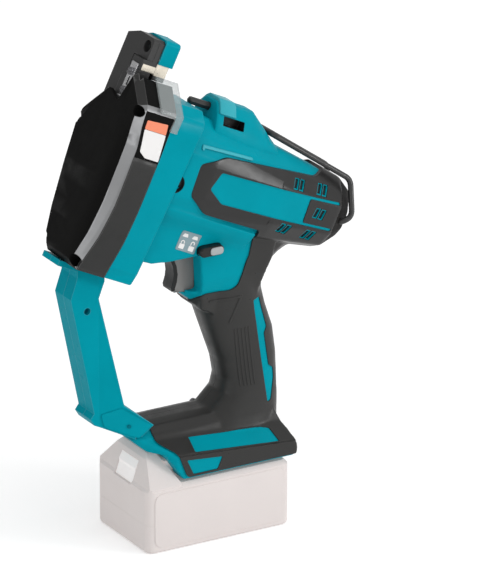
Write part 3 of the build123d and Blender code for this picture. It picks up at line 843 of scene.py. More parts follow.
    @classmethod
    def half(cls, mesh: Mesh, side: float, gap: float) -> Mesh:
        """What lies on one side of the middle plane, closed along the cut.

        Args:
            mesh: the whole mesh, which is left as it is.
            side: 1 for the left, -1 for the right.
            gap: distance from the middle plane at which it is cut.

        Returns:
            The half.
        """
        body = cls.opened(mesh)
        plane = Vector((0, -side * gap * MM, 0))
        found = bmesh.ops.bisect_plane(
            body, geom=body.verts[:] + body.edges[:] + body.faces[:], plane_co=plane,
            plane_no=(0, side, 0), clear_outer=True,
        )
        rim = [item for item in found["geom_cut"] if isinstance(item, bmesh.types.BMEdge)]
        bmesh.ops.triangle_fill(body, edges=rim, normal=(0, side, 0))
        bmesh.ops.recalc_face_normals(body, faces=body.faces)
        return cls.closed(body)

    @staticmethod
    def piece(name: str, mesh: Mesh, finish: Finish, body: str, slot: str,
              stands_for: tuple[str, ...] = (), crease: float = 32.0, others: tuple[Finish, ...] = (),
              zone: Zone | None = None) -> Thing:
        """A finished mesh as a piece of the tool.

        Args:
            name: name of the piece.
            mesh: its mesh, in place.
            finish: its finish.
            body: body on which it rides.
            slot: material slot of the record; not used.
            stands_for: CAD nodes that it replaces.
            crease: angle in degrees above which an edge stays sharp.
            others: more finishes, numbered from 1.
            zone: number of a face's finish, from its middle in millimetres and its normal, both read along
                the barrel.

        Returns:
            The piece.
        """
        mesh.materials.clear()
        for coat in (finish, *others):
            mesh.materials.append(coat.material())
        if zone:
            for face in mesh.polygons:
                middle = BARREL.reading(face.center) / MM
                face.material_index = zone(middle, BARREL.reading(face.normal))
        mesh.shade_smooth()
        mesh.set_sharp_from_angle(angle=math.radians(crease))
        mesh.name = name
        thing = bpy.data.objects.new(name, mesh)
        bpy.context.scene.collection.objects.link(thing)
        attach(thing, body)
        if stands_for:
            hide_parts(*stands_for)
        LOG.info("%s: %d faces, %s", name, len(mesh.polygons), finish.name)
        return thing

    @classmethod
    def zoned(cls, node: str, body: str, slot: str, finishes: tuple[Finish, ...], zone: Zone | None,
              cuts: Cuts = (), move: Callable[[Vector], Vector] | None = None) -> Thing:
        """Copy of a CAD node, with more finishes or its corners moved, which stands for the node.

        Args:
            node: name of the node.
            body: body on which it rides.
            slot: material slot of the record.
            finishes: the finishes.
            zone: number of a face's finish, from its middle in millimetres and its normal, both read along
                the barrel.
            cuts: a point and a normal of each plane at which faces are divided.
            move: new place of a corner from its old one, both in millimetres along the barrel.

        Returns:
            The piece.
        """
        copy = cls.opened(frame["nodes"][node].data)
        bmesh.ops.remove_doubles(copy, verts=copy.verts, dist=1e-6)
        for point, normal in cuts:
            everything = copy.verts[:] + copy.edges[:] + copy.faces[:]
            bmesh.ops.bisect_plane(copy, geom=everything, plane_co=point, plane_no=normal)
        if move:
            for corner in copy.verts:
                corner.co = BARREL.spot(*move(BARREL.reading(corner.co) / MM))
            copy.normal_update()
        name, mesh = f"{node}_finished", cls.closed(copy)
        return cls.piece(name, mesh, finishes[0], body, slot, (node,), 20.0, finishes[1:], zone)


class Repeater:
    """Geometry nodes that set copies of one unit on the points of a mesh."""

    @staticmethod
    def tree() -> Tree:
        """The node tree, made at its first use.

        Returns:
            A tree with the named inputs Unit, Size and Finish.
        """
        found = bpy.data.node_groups.get("unit_on_points")
        if found:
            return found
        tree = bpy.data.node_groups.new("unit_on_points", "GeometryNodeTree")
        tree.is_modifier = True
        for label, kind in (("Geometry", "Geometry"), ("Unit", "Object"), ("Size", "Float"), ("Finish", "Material")):
            tree.interface.new_socket(label, in_out="INPUT", socket_type=f"NodeSocket{kind}")
        tree.interface.new_socket("Geometry", in_out="OUTPUT", socket_type="NodeSocketGeometry")
        nodes, links = tree.nodes, tree.links
        source, sink = nodes.new("NodeGroupInput"), nodes.new("NodeGroupOutput")
        unit = nodes.new("GeometryNodeObjectInfo")
        copies = nodes.new("GeometryNodeInstanceOnPoints")
        real = nodes.new("GeometryNodeRealizeInstances")
        coat = nodes.new("GeometryNodeSetMaterial")
        links.new(source.outputs["Unit"], unit.inputs["Object"])
        links.new(source.outputs["Geometry"], copies.inputs["Points"])
        links.new(unit.outputs["Geometry"], copies.inputs["Instance"])
        links.new(source.outputs["Size"], copies.inputs["Scale"])
        links.new(copies.outputs["Instances"], real.inputs["Geometry"])
        links.new(real.outputs["Geometry"], coat.inputs["Geometry"])
        links.new(source.outputs["Finish"], coat.inputs["Material"])
        links.new(coat.outputs["Geometry"], sink.inputs["Geometry"])
        return tree

    @classmethod
    def copies(cls, unit: Mesh, spots: list[Vector], finish: Finish, size: float = 1.0) -> Mesh:
        """Plain mesh of one unit set on every spot.

        Args:
            unit: the unit's mesh, drawn about the origin.
            spots: places of the copies, in metres.
            finish: finish of the copies.
            size: factor on the unit's size.

        Returns:
            The mesh of all copies.
        """
        points = bpy.data.meshes.new("points")
        points.from_pydata(spots, [], [])
        scene = bpy.context.scene.collection.objects
        master = bpy.data.objects.new("unit", unit)
        carrier = bpy.data.objects.new("copies", points)
        scene.link(master)
        scene.link(carrier)
        tree = cls.tree()
        names = {item.name: item.identifier for item in tree.interface.items_tree if item.in_out == "INPUT"}
        modifier = carrier.modifiers.new("copies", "NODES")
        modifier.node_group = tree
        modifier[names["Unit"]] = master
        modifier[names["Size"]] = size
        modifier[names["Finish"]] = finish.material()
        graph = bpy.context.evaluated_depsgraph_get()
        done = bpy.data.meshes.new_from_object(carrier.evaluated_get(graph))
        carrier.modifiers.remove(modifier)
        bpy.data.objects.remove(carrier)
        bpy.data.objects.remove(master)
        return done


def dress(finish: Finish, *nodes: str) -> None:
    """Give CAD nodes a finish.

    Args:
        finish: the finish.
        nodes: names of the nodes.
    """
    for name in nodes:
        slots = frame["nodes"][name].data.materials
        slots.clear()
        slots.append(finish.material())
        LOG.info("%s: %s", name, finish.name)


@dataclass
class ShellForm:
    """Outer form of barrel, neck, grip and foot, grown together.

    Attributes:
        barrel_inset: how far the barrel lies within the outside of the soft cover.
        inset: how far the rest lies within it.
        motor_up: height of the motor axis square to the barrel.
        front: where the slopes end, inside the gear housing.
        voxel: grid on which the parts are grown together.
        rounds: passes of smoothing.
        barrel_width: half its width.
        barrel_rings: its sections, each a place along with the left half as (left, up).
        neck_width: half its width.
        neck_taper: what its lower end loses of that in each millimetre.
        neck_upper: its side view.
        neck_lower: side view of its lower end.
        chin_rings: sections of the lip below the trigger: place along, half width and lower edge.
        chin_top: upper edge of the lip.
        chin_bevel: width and height of its lower bevel.
        heel_rings: sections of the curve behind the grip: place along, half width and lower edge.
        heel_top: upper edge of that curve.
        heel_bevel: width and height of its lower bevel.
        fairing_ring: section of the slope between neck and barrel, as (left, up).
        fairing_rear: where the slope starts.
        grip_rings: its sections: height, front, rear and half width.
        grip_power: power that makes the sections squarer, 1 for an ellipse.
        grip_corners: number of corners of a section.
        foot_side: its side view.
        foot_half: left half of its front view, as (left, up).
        foot_plan: its plan, as (along, left).
        foot_reach: how far the front view is drawn to front and rear.
        foot_up: heights between which the plan is drawn.
        shoulders: heights between which the front view slants.
        slant: rise of the foot's shoulders to the front.
        slant_from: place along where they keep their height.
    """

    barrel_inset: float = 0.0
    inset: float = 0.0
    motor_up: float = 245.0
    front: float = 150.0
    voxel: float = 1.1
    rounds: int = 9
    barrel_width: float = 33.0
    barrel_rings: list[Section] = rows(
        (-10.0, [(7, 266), (12, 259), (16, 252), (16, 240), (12, 233), (7, 230)]),
        (5.0, [(10, 274), (20, 265), (26, 256), (26, 235), (20, 224), (10, 219.5)]),
        (60.0, [(11, 283), (26, 270), (33, 258), (33, 231), (25, 217), (11, 211)]),
        (150.0, [(12, 290), (27, 279), (34, 264), (34, 228), (28, 214), (12, 208)]),
    )
    neck_width: float = 21.5
    neck_taper: float = 0.22
    neck_upper: Outline = rows(
        (28.7, 281.0), (57.6, 221.8), (45, 216.5), (30, 215), (5, 215), (4.1, 193.4), (-48.7, 193.4),
        (-54, 203), (-60, 226),
    )
    neck_lower: Outline = rows((4, 194), (3, 171), (-12, 164), (-40, 164), (-44, 178), (-49, 194))
    chin_rings: list[Place] = rows((-8, 18.5, 168), (3, 17.8, 172.8), (9, 15.2, 177), (13.5, 11.6, 180.5))
    chin_top: float = 186.0
    chin_bevel: Pair = (6.0, 8.0)
    heel_rings: list[Place] = rows(
        (-44, 20.5, 184), (-49.5, 19.5, 191.6), (-55.5, 18, 197.4), (-64, 15.5, 201.6), (-73, 12.5, 203.6),
        (-80, 10, 205),
    )
    heel_top: float = 222.0
    heel_bevel: Pair = (5.0, 6.0)
    fairing_ring: Outline = rows((21.5, 203), (23.6, 207.5), (28, 213.4), (30.5, 219), (10, 224), (10, 203))
    fairing_rear: float = 66.0
    grip_rings: list[tuple[float, float, float, float]] = rows(
        (212, 2, -66, 21.5), (206, 4, -62, 21.5), (190, 4, -53, 21.0), (178, 1.5, -52, 20.2),
        (164, -3, -55.5, 19.0), (145, -9.5, -62, 18.2), (125, -16.5, -64.6, 17.8), (111, -19, -65, 18.0),
        (101, -16.5, -65.2, 18.6), (92, -7, -65.8, 19.6), (83, 2, -65.5, 21.0), (75.5, 8, -65, 23.0),
        (68, 10, -64, 25.0),
    )
    grip_power: float = 0.76
    grip_corners: int = 48
    foot_side: Outline = rows(
        (-64, 51), (29, 51), (41, 70), (51, 72), (62, 82), (48, 92), (6, 92), (-8, 95), (-52, 96),
        (-57, 84), (-63, 70), (-66, 58),
    )
    foot_half: Outline = rows((37.5, 40), (37.5, 70), (21, 79), (17, 85.5), (14, 89), (7, 91.3))
    foot_plan: Outline = rows(
        (-90, -37.5), (33.8, -37.5), (62, -15), (90, -15), (90, 15), (62, 15), (33.8, 37.5), (-90, 37.5),
    )
    foot_reach: float = 90.0
    foot_up: Pair = (40.0, 110.0)
    shoulders: Pair = (55.0, 81.0)
    slant: float = 0.072
    slant_from: float = 7.0

    def barrel(self) -> Body:
        """Faceted motor barrel that narrows to its rear end.

        Returns:
            The closed barrel.
        """
        shrink, axis, rear = 1 - self.barrel_inset / self.barrel_width, self.motor_up, self.barrel_rings[0][0]
        stations = []
        for along, half in self.barrel_rings:
            ring = [(left * shrink, axis + (up - axis) * shrink) for left, up in Mesher.mirrored(half)]
            stations.append((max(along, rear + self.barrel_inset), ring))
        return Mesher.sections(BARREL, stations)

    def neck(self) -> Body:
        """Flat-sided neck between barrel, trigger and grip, narrower at its lower end.

        Returns:
            The closed neck.
        """
        width, top = self.neck_width - self.inset, self.neck_lower[0][1]
        upper = Mesher.prism(UPRIGHT, self.neck_upper, -width, width)
        rings = []
        for side in (-1, 1):
            ring = [(along, side * (width - self.neck_taper * (top - up)), up) for along, up in self.neck_lower]
            rings.append([UPRIGHT.spot(*corner) for corner in ring])
        return Mesher.opened(Mesher.joined(upper, Mesher.loft(rings)))

    def chin(self) -> Body:
        """Lip below the trigger that narrows to the front.

        Returns:
            The closed lip.
        """
        wide, tall = self.chin_bevel
        stations = []
        for along, width, low in self.chin_rings:
            left = width - self.inset
            half = [(left, self.chin_top), (left, low + tall), (left - wide, low + self.inset)]
            stations.append((along - self.inset, Mesher.mirrored(half)))
        return Mesher.sections(UPRIGHT, stations)

    def heel(self) -> Body:
        """Hollow curve behind the grip that leads up to the barrel.

        Returns:
            The closed web.
        """
        wide, tall = self.heel_bevel
        stations = []
        for along, width, low in self.heel_rings:
            left = width - self.inset
            half = [(left, self.heel_top), (left, low + tall + self.inset), (left - wide, low + self.inset)]
            stations.append((along, Mesher.mirrored(half)))
        return Mesher.sections(UPRIGHT, stations)

    def fairing(self) -> Body:
        """Hollow slopes on both sides that lead from the neck to the barrel.

        Returns:
            The closed slopes.
        """
        ends = (self.fairing_rear + self.inset, self.front)
        slopes = []
        for side in (-1, 1):
            ring = [(side * (left - self.inset), up) for left, up in self.fairing_ring]
            slopes.append(Mesher.sections(BARREL, [(along, ring) for along in ends]))
        return Mesher.opened(Mesher.joined(*slopes))

    def grip(self) -> Body:
        """Waisted grip through rounded sections.

        Returns:
            The closed grip.
        """
        rings = []
        for up, front, rear, width in self.grip_rings:
            ring = []
            for round_spot in Mesher.circle((0, 0), 1, self.grip_corners):
                ahead, aside = [math.copysign(abs(way) ** self.grip_power, way) for way in round_spot]
                along = (front + rear) / 2 + ((front - rear) / 2 - self.inset) * ahead
                ring.append(UPRIGHT.spot(along, (width - self.inset) * aside, up))
            rings.append(ring)
        return Mesher.loft(rings)

    def slope(self, along: float) -> float:
        """Rise of the foot's shoulders at a place along it."""
        return self.slant * (along - self.slant_from)

    def foot(self) -> Body:
        """Foot with sloping shoulders and a front that narrows.

        Returns:
            The closed foot.
        """
        low, high = self.shoulders
        foot = Mesher.joined(Mesher.prism(UPRIGHT, Mesher.drawn_in(self.foot_side, self.inset), -OUT, OUT))
        front = Mesher.drawn_in(Mesher.mirrored(self.foot_half), self.inset)
        ends = []
        for along in (-self.foot_reach, self.foot_reach):
            rise = self.slope(along)
            ends.append((along, [(left, up + (rise if low < up < high else 0)) for left, up in front]))
        above = Mesher.storey(UPRIGHT, Mesher.drawn_in(self.foot_plan, self.inset), self.foot_up)
        for form in (Mesher.sections(UPRIGHT, ends), above):
            foot = Mesher.cut(foot, Mesher.joined(form), Keep.SHARED)
        return Mesher.opened(foot)

    def skin(self) -> Mesh:
        """Barrel, neck, grip and foot grown into one smooth form.

        Returns:
            The closed form.
        """
        rough = Mesher.joined(
            self.barrel(), self.neck(), self.chin(), self.heel(), self.fairing(), self.grip(), self.foot(),
        )
        grown = Mesher.applied(rough, ("REMESH", {"mode": "VOXEL", "voxel_size": self.voxel * MM}))
        return Mesher.applied(grown, ("SMOOTH", {"factor": 0.5, "iterations": self.rounds}))


@dataclass
class ShellMarks:
    """Slots, ribs and small marks on the shell, as bodies that reach through its skin.

    Attributes:
        vents: middle of each pair of slots, along and up the barrel.
        vent_pitch: distance between the slots of a pair.
        vent_width: width of a slot.
        vent_height: height of a slot.
        vent_lean: how far a slot's upper end leans to the front.
        vent_from: how far from the middle plane the slots start.
        collar: how much wider than a slot its hard collar is.
        collar_sunk: how far the collar lies below the soft cover.
        vent_gap: how much wider than a slot the soft cover is cut.
        vent_depth: how far the slots' black floors lie below the soft cover; they are a painted shade for the dark
            inside of the vents.
        vent_lap: how much wider than a slot its floor is.
        rib: side view of a rib, from its upper end.
        rib_top: side-view place of the first rib's upper end.
        rib_pitch: distance from rib to rib.
        ribs: number of ribs on a side.
        rib_proud: how far the ribs stand out.
        thumb: side view of the thumb rest's raised edge.
        thumb_proud: how far that stands out.
        mark_corner: rounding of ribs and thumb rest.
        mark_reach: distances from the middle plane between which both lie.
        ridge: side view of the upper side panel's raised edge.
        ridge_from: how far from the middle plane that starts.
        ridge_proud: how far that stands out.
        lock: reach of the plate beside the lock-off bar along and up.
        plate_corner: rounding of ridge and plate.
        lock_proud: how far the plate stands out.
        lock_from: how far from the middle plane plate and padlocks start.
        padlocks: place along of each padlock and how far its bow is lifted.
        padlock_case: half width, lower and upper edge of a padlock's case.
        bow_radii: outer and inner radius of its bow.
        bow_up: height of the bow's middle and of its feet.
        side_mark: lower and upper half width of the mark over a padlock, and its lower and upper edge.
        sign_corner: rounding of cases and marks.
        sign_proud: how far padlocks and marks stand out.
    """

    vents: Outline = rows((48.4, 262.7), (24.9, 263.4), (22.0, 246.7), (47.5, 229.2), (22.8, 229.5))
    vent_pitch: float = 5.4
    vent_width: float = 3.2
    vent_height: float = 6.4
    vent_lean: float = -0.5
    vent_from: float = 12.0
    collar: float = 0.7
    collar_sunk: float = 0.5
    vent_gap: float = 0.8
    vent_depth: float = 1.6
    vent_lap: float = 0.05
    rib: Outline = rows((-0.5, 0), (0.5, 0), (-5.1, -46), (-6.1, -46))
    rib_top: Pair = (-24.0, 152.0)
    rib_pitch: float = 2.8
    ribs: int = 5
    rib_proud: float = 0.4
    thumb: Outline = rows((-3, 176.5), (-27, 176.5), (-19, 158), (-20.2, 157.2), (-29.6, 178), (-3, 178))
    thumb_proud: float = 0.5
    mark_corner: float = 1.0
    mark_reach: Pair = (5.0, 30.0)
    ridge: Outline = rows((140.2, 266), (140.2, 269.6), (93.5, 270.8), (93.5, 268.8), (138.2, 267.6), (138.2, 266))
    ridge_from: float = 5.0
    ridge_proud: float = 1.0
    lock: Oblong = ((105.3, 122.2), (190.5, 205.5))
    plate_corner: float = 1.2
    lock_proud: float = 0.3
    lock_from: float = 16.0
    padlocks: Outline = rows((118.2, 0.0), (109.6, 0.9))
    padlock_case: Place = (2.3, 192.0, 195.8)
    bow_radii: Pair = (1.7, 0.9)
    bow_up: Pair = (196.9, 196.1)
    side_mark: Oblong = ((2.6, 1.6), (201.0, 203.6))
    sign_corner: float = 0.5
    sign_proud: float = 0.5

    def vent_slots(self, grow: float) -> Mesh:
        """Slanted slots in pairs on both sides of the barrel's rear.

        Args:
            grow: how much wider and taller than the slot itself each is drawn.

        Returns:
            The slots as closed bodies.
        """
        across, tall, lean = self.vent_width / 2 + grow, self.vent_height / 2 + grow, self.vent_lean
        outline = [
            (across - lean, -tall), (across + lean, tall), (-across + lean, tall), (-across - lean, -tall),
        ]
        unit = Mesher.joined(*Mesher.on_both(BARREL, outline, self.vent_from, OUT))
        spots = [
            BARREL.spot(along + shift * self.vent_pitch / 2, 0, up)
            for along, up in self.vents for shift in (-1, 1)
        ]
        return Repeater.copies(unit, spots, BLACK)

    def grip_ribs(self) -> Mesh:
        """Slender upright ribs on both sides of the grip.

        Returns:
            The ribs as closed bodies.
        """
        outline, (along, up) = Mesher.rounded(self.rib, self.mark_corner, 2), self.rib_top
        unit = Mesher.joined(*Mesher.on_both(UPRIGHT, outline, *self.mark_reach))
        spots = [UPRIGHT.spot(along - self.rib_pitch * step, 0, up) for step in range(self.ribs)]
        return Repeater.copies(unit, spots, RUBBER)

    def thumb_mark(self) -> Mesh:
        """Raised edges of the three-cornered thumb rest on both sides."""
        outline = Mesher.rounded(self.thumb, self.mark_corner, 2)
        return Mesher.joined(*Mesher.on_both(UPRIGHT, outline, *self.mark_reach))

    def panel_ridge(self) -> Mesh:
        """Raised edge of the upper side panel on both sides."""
        outline = Mesher.rounded(self.ridge, self.plate_corner, 3)
        return Mesher.joined(*Mesher.on_both(BARREL, outline, self.ridge_from, OUT))

    def lock_plate(self) -> Mesh:
        """Plate beside the lock-off bar on the left of the neck."""
        outline = Mesher.rounded(Mesher.oblong(*self.lock), self.plate_corner, 3)
        return Mesher.joined(Mesher.prism(BARREL, outline, self.lock_from, OUT))

    def bow(self, middle: float, lift: float) -> Outline:
        """Bow of a padlock.

        Args:
            middle: place along of its middle.
            lift: how far it is lifted, its front leg staying in the case.

        Returns:
            The outline.
        """
        (wide, slim), (up, low) = self.bow_radii, self.bow_up
        turns = [math.pi * step / 10 for step in range(11)]
        outer = [(middle + wide * math.cos(t), up + lift + wide * math.sin(t)) for t in turns]
        inner = [(middle + slim * math.cos(t), up + lift + slim * math.sin(t)) for t in reversed(turns[1:])]
        rear_leg = [(middle - wide, low + lift), (middle - slim, low + lift)]
        front_leg = [(middle + slim, low), (middle + wide, low)]
        return outer + rear_leg + inner + front_leg

    def lock_signs(self) -> Mesh:
        """A shut and an open padlock on the plate, each under a mark for the side of the bar.

        Returns:
            The padlocks and marks as closed bodies.
        """
        half, *case_up = self.padlock_case
        (below, above), (low, high) = self.side_mark
        bodies = []
        for middle, lift in self.padlocks:
            case = Mesher.oblong((middle - half, middle + half), case_up)
            mark = [(middle - below, low), (middle + below, low), (middle + above, high), (middle - above, high)]
            case, mark = [Mesher.rounded(sign, self.sign_corner, 2) for sign in (case, mark)]
            signs = (case, self.bow(middle, lift), mark)
            bodies += [Mesher.prism(BARREL, sign, self.lock_from, OUT) for sign in signs]
        return Mesher.joined(*bodies)


@dataclass
class MotorShell:
    """Clamshell of barrel, neck, grip and foot, with the soft cover moulded over it.

    Attributes:
        cover_form: form of the soft cover.
        core_form: form of the hard shell below it.
        marks: slots and marks on both.
        seam: where the shell meets the gear housing.
        split: half the gap along the parting line.
        pocket: reach of the trigger's pocket along, to the left and up.
        bar_slot: reach of the lock-off bar's slot along and up.
        slot_corner: rounding of its corners.
        rail_along: reach of the pack's rails along.
        rails: half width of each step of the rails, with its reach upwards.
        screws: side-view place of each shell screw and the depth of its seat on the right.
        seat: radius of the seats.
        port: side-view middle of the round ports at the seam.
        port_radius: their radius.
        port_floor: how far out their floor lies.
        port_gap: how far behind the seam their black cups end.
        cup: radius and reach outwards of those cups, a painted shade inside the ports.
        cup_bore: radius and reach outwards of the hollow in it.
        grip_cover: side view of the soft cover on grip and foot.
        pod_cover: side view of the soft cover on the barrel.
        cover_corner: rounding of both.
        strip: side view of the hard strip along the barrel.
        stripe: side view of the hard stripe on the grip.
        badge: side view of the field at the foot's front.
        panel: plan of the panel on the foot's shoulder, as (along, left).
        panel_up: heights between which it is drawn.
        inlay_corners: rounding of strip, of stripe, and of badge and panel.
        inlay_from: how far from the middle plane these fields start.
        inlay_sunk: how far they lie below the soft cover.
        groove: reach of the foot's groove along and up.
        groove_floor: how far out the groove's floor lies.
        pod_upper: ends of the pods' upper slope, each a place along with the slope as (left, up).
        pod_lower: the same of their lower slope.
        pod_front: plan of what is cut off their front, as (along, left).
        pod_up: heights between which that is cut off.
        pod_out: how far to each side the slopes are cut.
        rear_end: the dull rear end lies behind this place along and above this height.
        pods: the pods lie before this place along and above this height.
    """

    cover_form: ShellForm = field(default_factory=ShellForm)
    core_form: ShellForm = field(default_factory=lambda: ShellForm(barrel_inset=2.2, inset=1.2))
    marks: ShellMarks = field(default_factory=ShellMarks)
    seam: float = 149.0
    split: float = 0.1
    pocket: Box = ((-13.5, 60.0), (-8.6, 8.6), (184.2, 214.3))
    bar_slot: Oblong = ((-11.5, 8.5), (215.0, 223.0))
    slot_corner: float = 4.0
    rail_along: Pair = (-52.0, 80.0)
    rails: list[tuple[float, Pair]] = rows((26.0, (45.0, 53.5)), (23.0, (53.4, 57.1)), (26.0, (57.0, 66.0)))
    screws: list[Place] = rows(
        (38.2, 241.1, 15.0), (-31.4, 219.5, 15.0), (7.0, 178.5, 13.5), (20.0, 86.0, 11.0),
        (-8.0, 87.0, 13.0), (-68.4, 272.6, 13.5), (-89.6, 211.1, 16.5), (1.3, 312.2, 18.0),
    )
    seat: float = 3.4
    port: Pair = (150.5, 237.2)
    port_radius: float = 6.8
    port_floor: float = 29.0
    port_gap: float = 0.2
    cup: Place = (6.9, 27.5, 31.4)
    cup_bore: Place = (6.3, 29.4, 60.0)
    grip_cover: Outline = rows(
        (8.5, 176.5), (2.6, 184.4), (-19.9, 183.8), (-25.7, 186.5), (-32.3, 204.5), (-44.7, 226.3),
        (-120, 215), (-120, 190), (-85, 160), (-85, 54), (25.8, 54), (33, 73), (44, 80), (44, 105),
        (25, 110), (8.5, 164),
    )
    pod_cover: Outline = rows(
        (135, 232), (137, 256), (117, 266), (61, 269.5), (31, 270.5), (22, 276), (17, 292),
        (-30, 292), (-30, 200), (60, 200), (65, 222.5), (117, 222),
    )
    cover_corner: float = 3.0
    strip: Outline = rows(
        (122.8, 241), (118.5, 255), (37, 257.5), (6, 258.6), (6, 256.6), (35, 255.4), (33.8, 237.6),
        (6, 238.7), (6, 236.7), (35.5, 235.5), (108.7, 233),
    )
    stripe: Outline = rows(
        (-39.3, 171.5), (-45.2, 172.7), (-51.8, 148), (-49.2, 143.6), (-53.1, 118), (-57.5, 114.8),
        (-58, 107.3), (-54.5, 90.6), (-51.1, 90), (-48.6, 109), (-43.2, 144.8),
    )
    badge: Outline = rows((26.4, 67.4), (-3.1, 64.6), (1.0, 55.6), (21.0, 55.6))
    panel: Outline = rows((17.3, 22.4), (-42.8, 23.0), (-48.5, 24.4), (-50.5, 36.6), (18.6, 35.8))
    panel_up: Pair = (62.0, 90.0)
    inlay_corners: Place = (1.6, 1.2, 1.0)
    inlay_from: float = 6.0
    inlay_sunk: float = 0.6
    groove: Oblong = ((-90.0, 60.0), (69.0, 69.9))
    groove_floor: float = 36.7
    pod_upper: list[Section] = rows(
        (64.0, [(32.9, 257), (29.3, 266), (24.6, 277)]), (160.0, [(34.2, 257), (30.6, 268), (27.0, 279)]),
    )
    pod_lower: list[Section] = rows(
        (64.0, [(33.2, 233.5), (29.8, 222.5), (25.5, 208.5)]), (160.0, [(34.2, 233.5), (30.8, 222.5), (26.5, 208.5)]),
    )
    pod_front: Outline = rows((139, 31.2), (160, 27.5), (160, 48), (100, 48), (100, 38.0))
    pod_up: Pair = (200.0, 300.0)
    pod_out: float = 50.0
    rear_end: Pair = (4.0, 212.0)
    pods: Pair = (-20.0, 218.0)

    def openings(self) -> Mesh:
        """Everything cut from the shell: screw seats, trigger pocket, bar slot, rail slot and ports.

        Returns:
            The openings as closed bodies.
        """
        seats = [
            Mesher.prism(UPRIGHT, Mesher.circle((along, up), self.seat), -OUT, -depth)
            for along, up, depth in self.screws
        ]
        slot = Mesher.rounded(Mesher.oblong(*self.bar_slot), self.slot_corner)
        rails = [Mesher.block(UPRIGHT, self.rail_along, (-half, half), up) for half, up in self.rails]
        return Mesher.joined(
            *seats,
            Mesher.block(UPRIGHT, *self.pocket),
            Mesher.prism(UPRIGHT, slot, -OUT, OUT),
            *rails,
            *Mesher.on_both(BARREL, Mesher.circle(self.port, self.port_radius), self.port_floor, OUT),
        )

    def soft_zone(self) -> Mesh:
        """Side-view region of the soft cover, drawn right through the tool.

        Returns:
            The region as a closed body.
        """
        low, high = [
            Mesher.joined(Mesher.prism(axes, Mesher.rounded(outline, self.cover_corner), -OUT, OUT))
            for axes, outline in ((UPRIGHT, self.grip_cover), (BARREL, self.pod_cover))
        ]
        return Mesher.cut(low, high, Keep.BOTH)

    def inlays(self) -> Mesh:
        """Side-view regions within the soft cover where hard plastic shows.

        Returns:
            The regions as closed bodies.
        """
        wide, slim, least = self.inlay_corners
        fields = (
            (BARREL, Mesher.rounded(self.strip, wide, 3)),
            (UPRIGHT, Mesher.rounded(self.stripe, slim, 3)),
            (UPRIGHT, Mesher.rounded(self.badge, least, 3)),
        )
        bodies = []
        for side in (-1, 1):
            reach = sorted((side * self.inlay_from, side * OUT))
            bodies += [Mesher.prism(axes, outline, *reach) for axes, outline in fields]
            plan = Mesher.rounded([(along, left * side) for along, left in self.panel], least, 3)
            bodies.append(Mesher.storey(UPRIGHT, plan, self.panel_up))
        return Mesher.joined(*bodies)

    def foot_groove(self) -> Mesh:
        """Line along both sides of the foot, below its shoulders."""
        line = [(along, up + self.cover_form.slope(along)) for along, up in Mesher.oblong(*self.groove)]
        return Mesher.joined(*Mesher.on_both(UPRIGHT, line, self.groove_floor, OUT))

    def pod_bevels(self) -> list[Mesh]:
        """Wedges that slope the two pods down from their strip to the front, to the top and to the bottom.

        Returns:
            The wedges, each a closed body.
        """
        tools = []
        for side in (-1, 1):
            plan = [(along, side * left) for along, left in self.pod_front]
            tools.append(Mesher.storey(BARREL, plan, self.pod_up))
            for ends in (self.pod_upper, self.pod_lower):
                stations = []
                for along, slope in ends:
                    ring = slope + [(self.pod_out, slope[-1][1]), (self.pod_out, slope[0][1])]
                    stations.append((along, [(side * left, up) for left, up in ring]))
                tools.append(Mesher.sections(BARREL, stations))
        return [Mesher.joined(tool) for tool in tools]

    def pod_zone(self, middle: Vector, normal: Vector) -> int:
        """Finish of a face of the soft cover.

        Args:
            middle: middle of the face.
            normal: its normal.

        Returns:
            1 on the smoother pods, 2 on the dull rear end, 0 elsewhere.
        """
        if middle.x < self.rear_end[0] and middle.z > self.rear_end[1] and normal.x < -0.3:
            return 2
        return int(middle.x > self.pods[0] and middle.z > self.pods[1])

    def port_arc(self, radius: float) -> Outline:
        """Rear half of a port, ending just behind the seam.

        Args:
            radius: its radius.

        Returns:
            The outline.
        """
        turns = [math.pi * (0.5 + step / 16) for step in range(17)]
        arc = [(self.port[0] + radius * math.cos(t), self.port[1] + radius * math.sin(t)) for t in turns]
        return [(min(along, self.seam - self.port_gap), up) for along, up in arc]

    def port_cups(self) -> Mesh:
        """Black cups inside the two round ports beside the gear housing, a painted shade in the holes.

        Returns:
            The two cups.
        """
        cups = []
        for side in (-1, 1):
            cup, bore = [
                Mesher.joined(Mesher.prism(BARREL, self.port_arc(radius), *sorted((side * near, side * far))))
                for radius, near, far in (self.cup, self.cup_bore)
            ]
            cups.append(Mesher.cut(cup, bore))
        return Mesher.gathered(*cups)

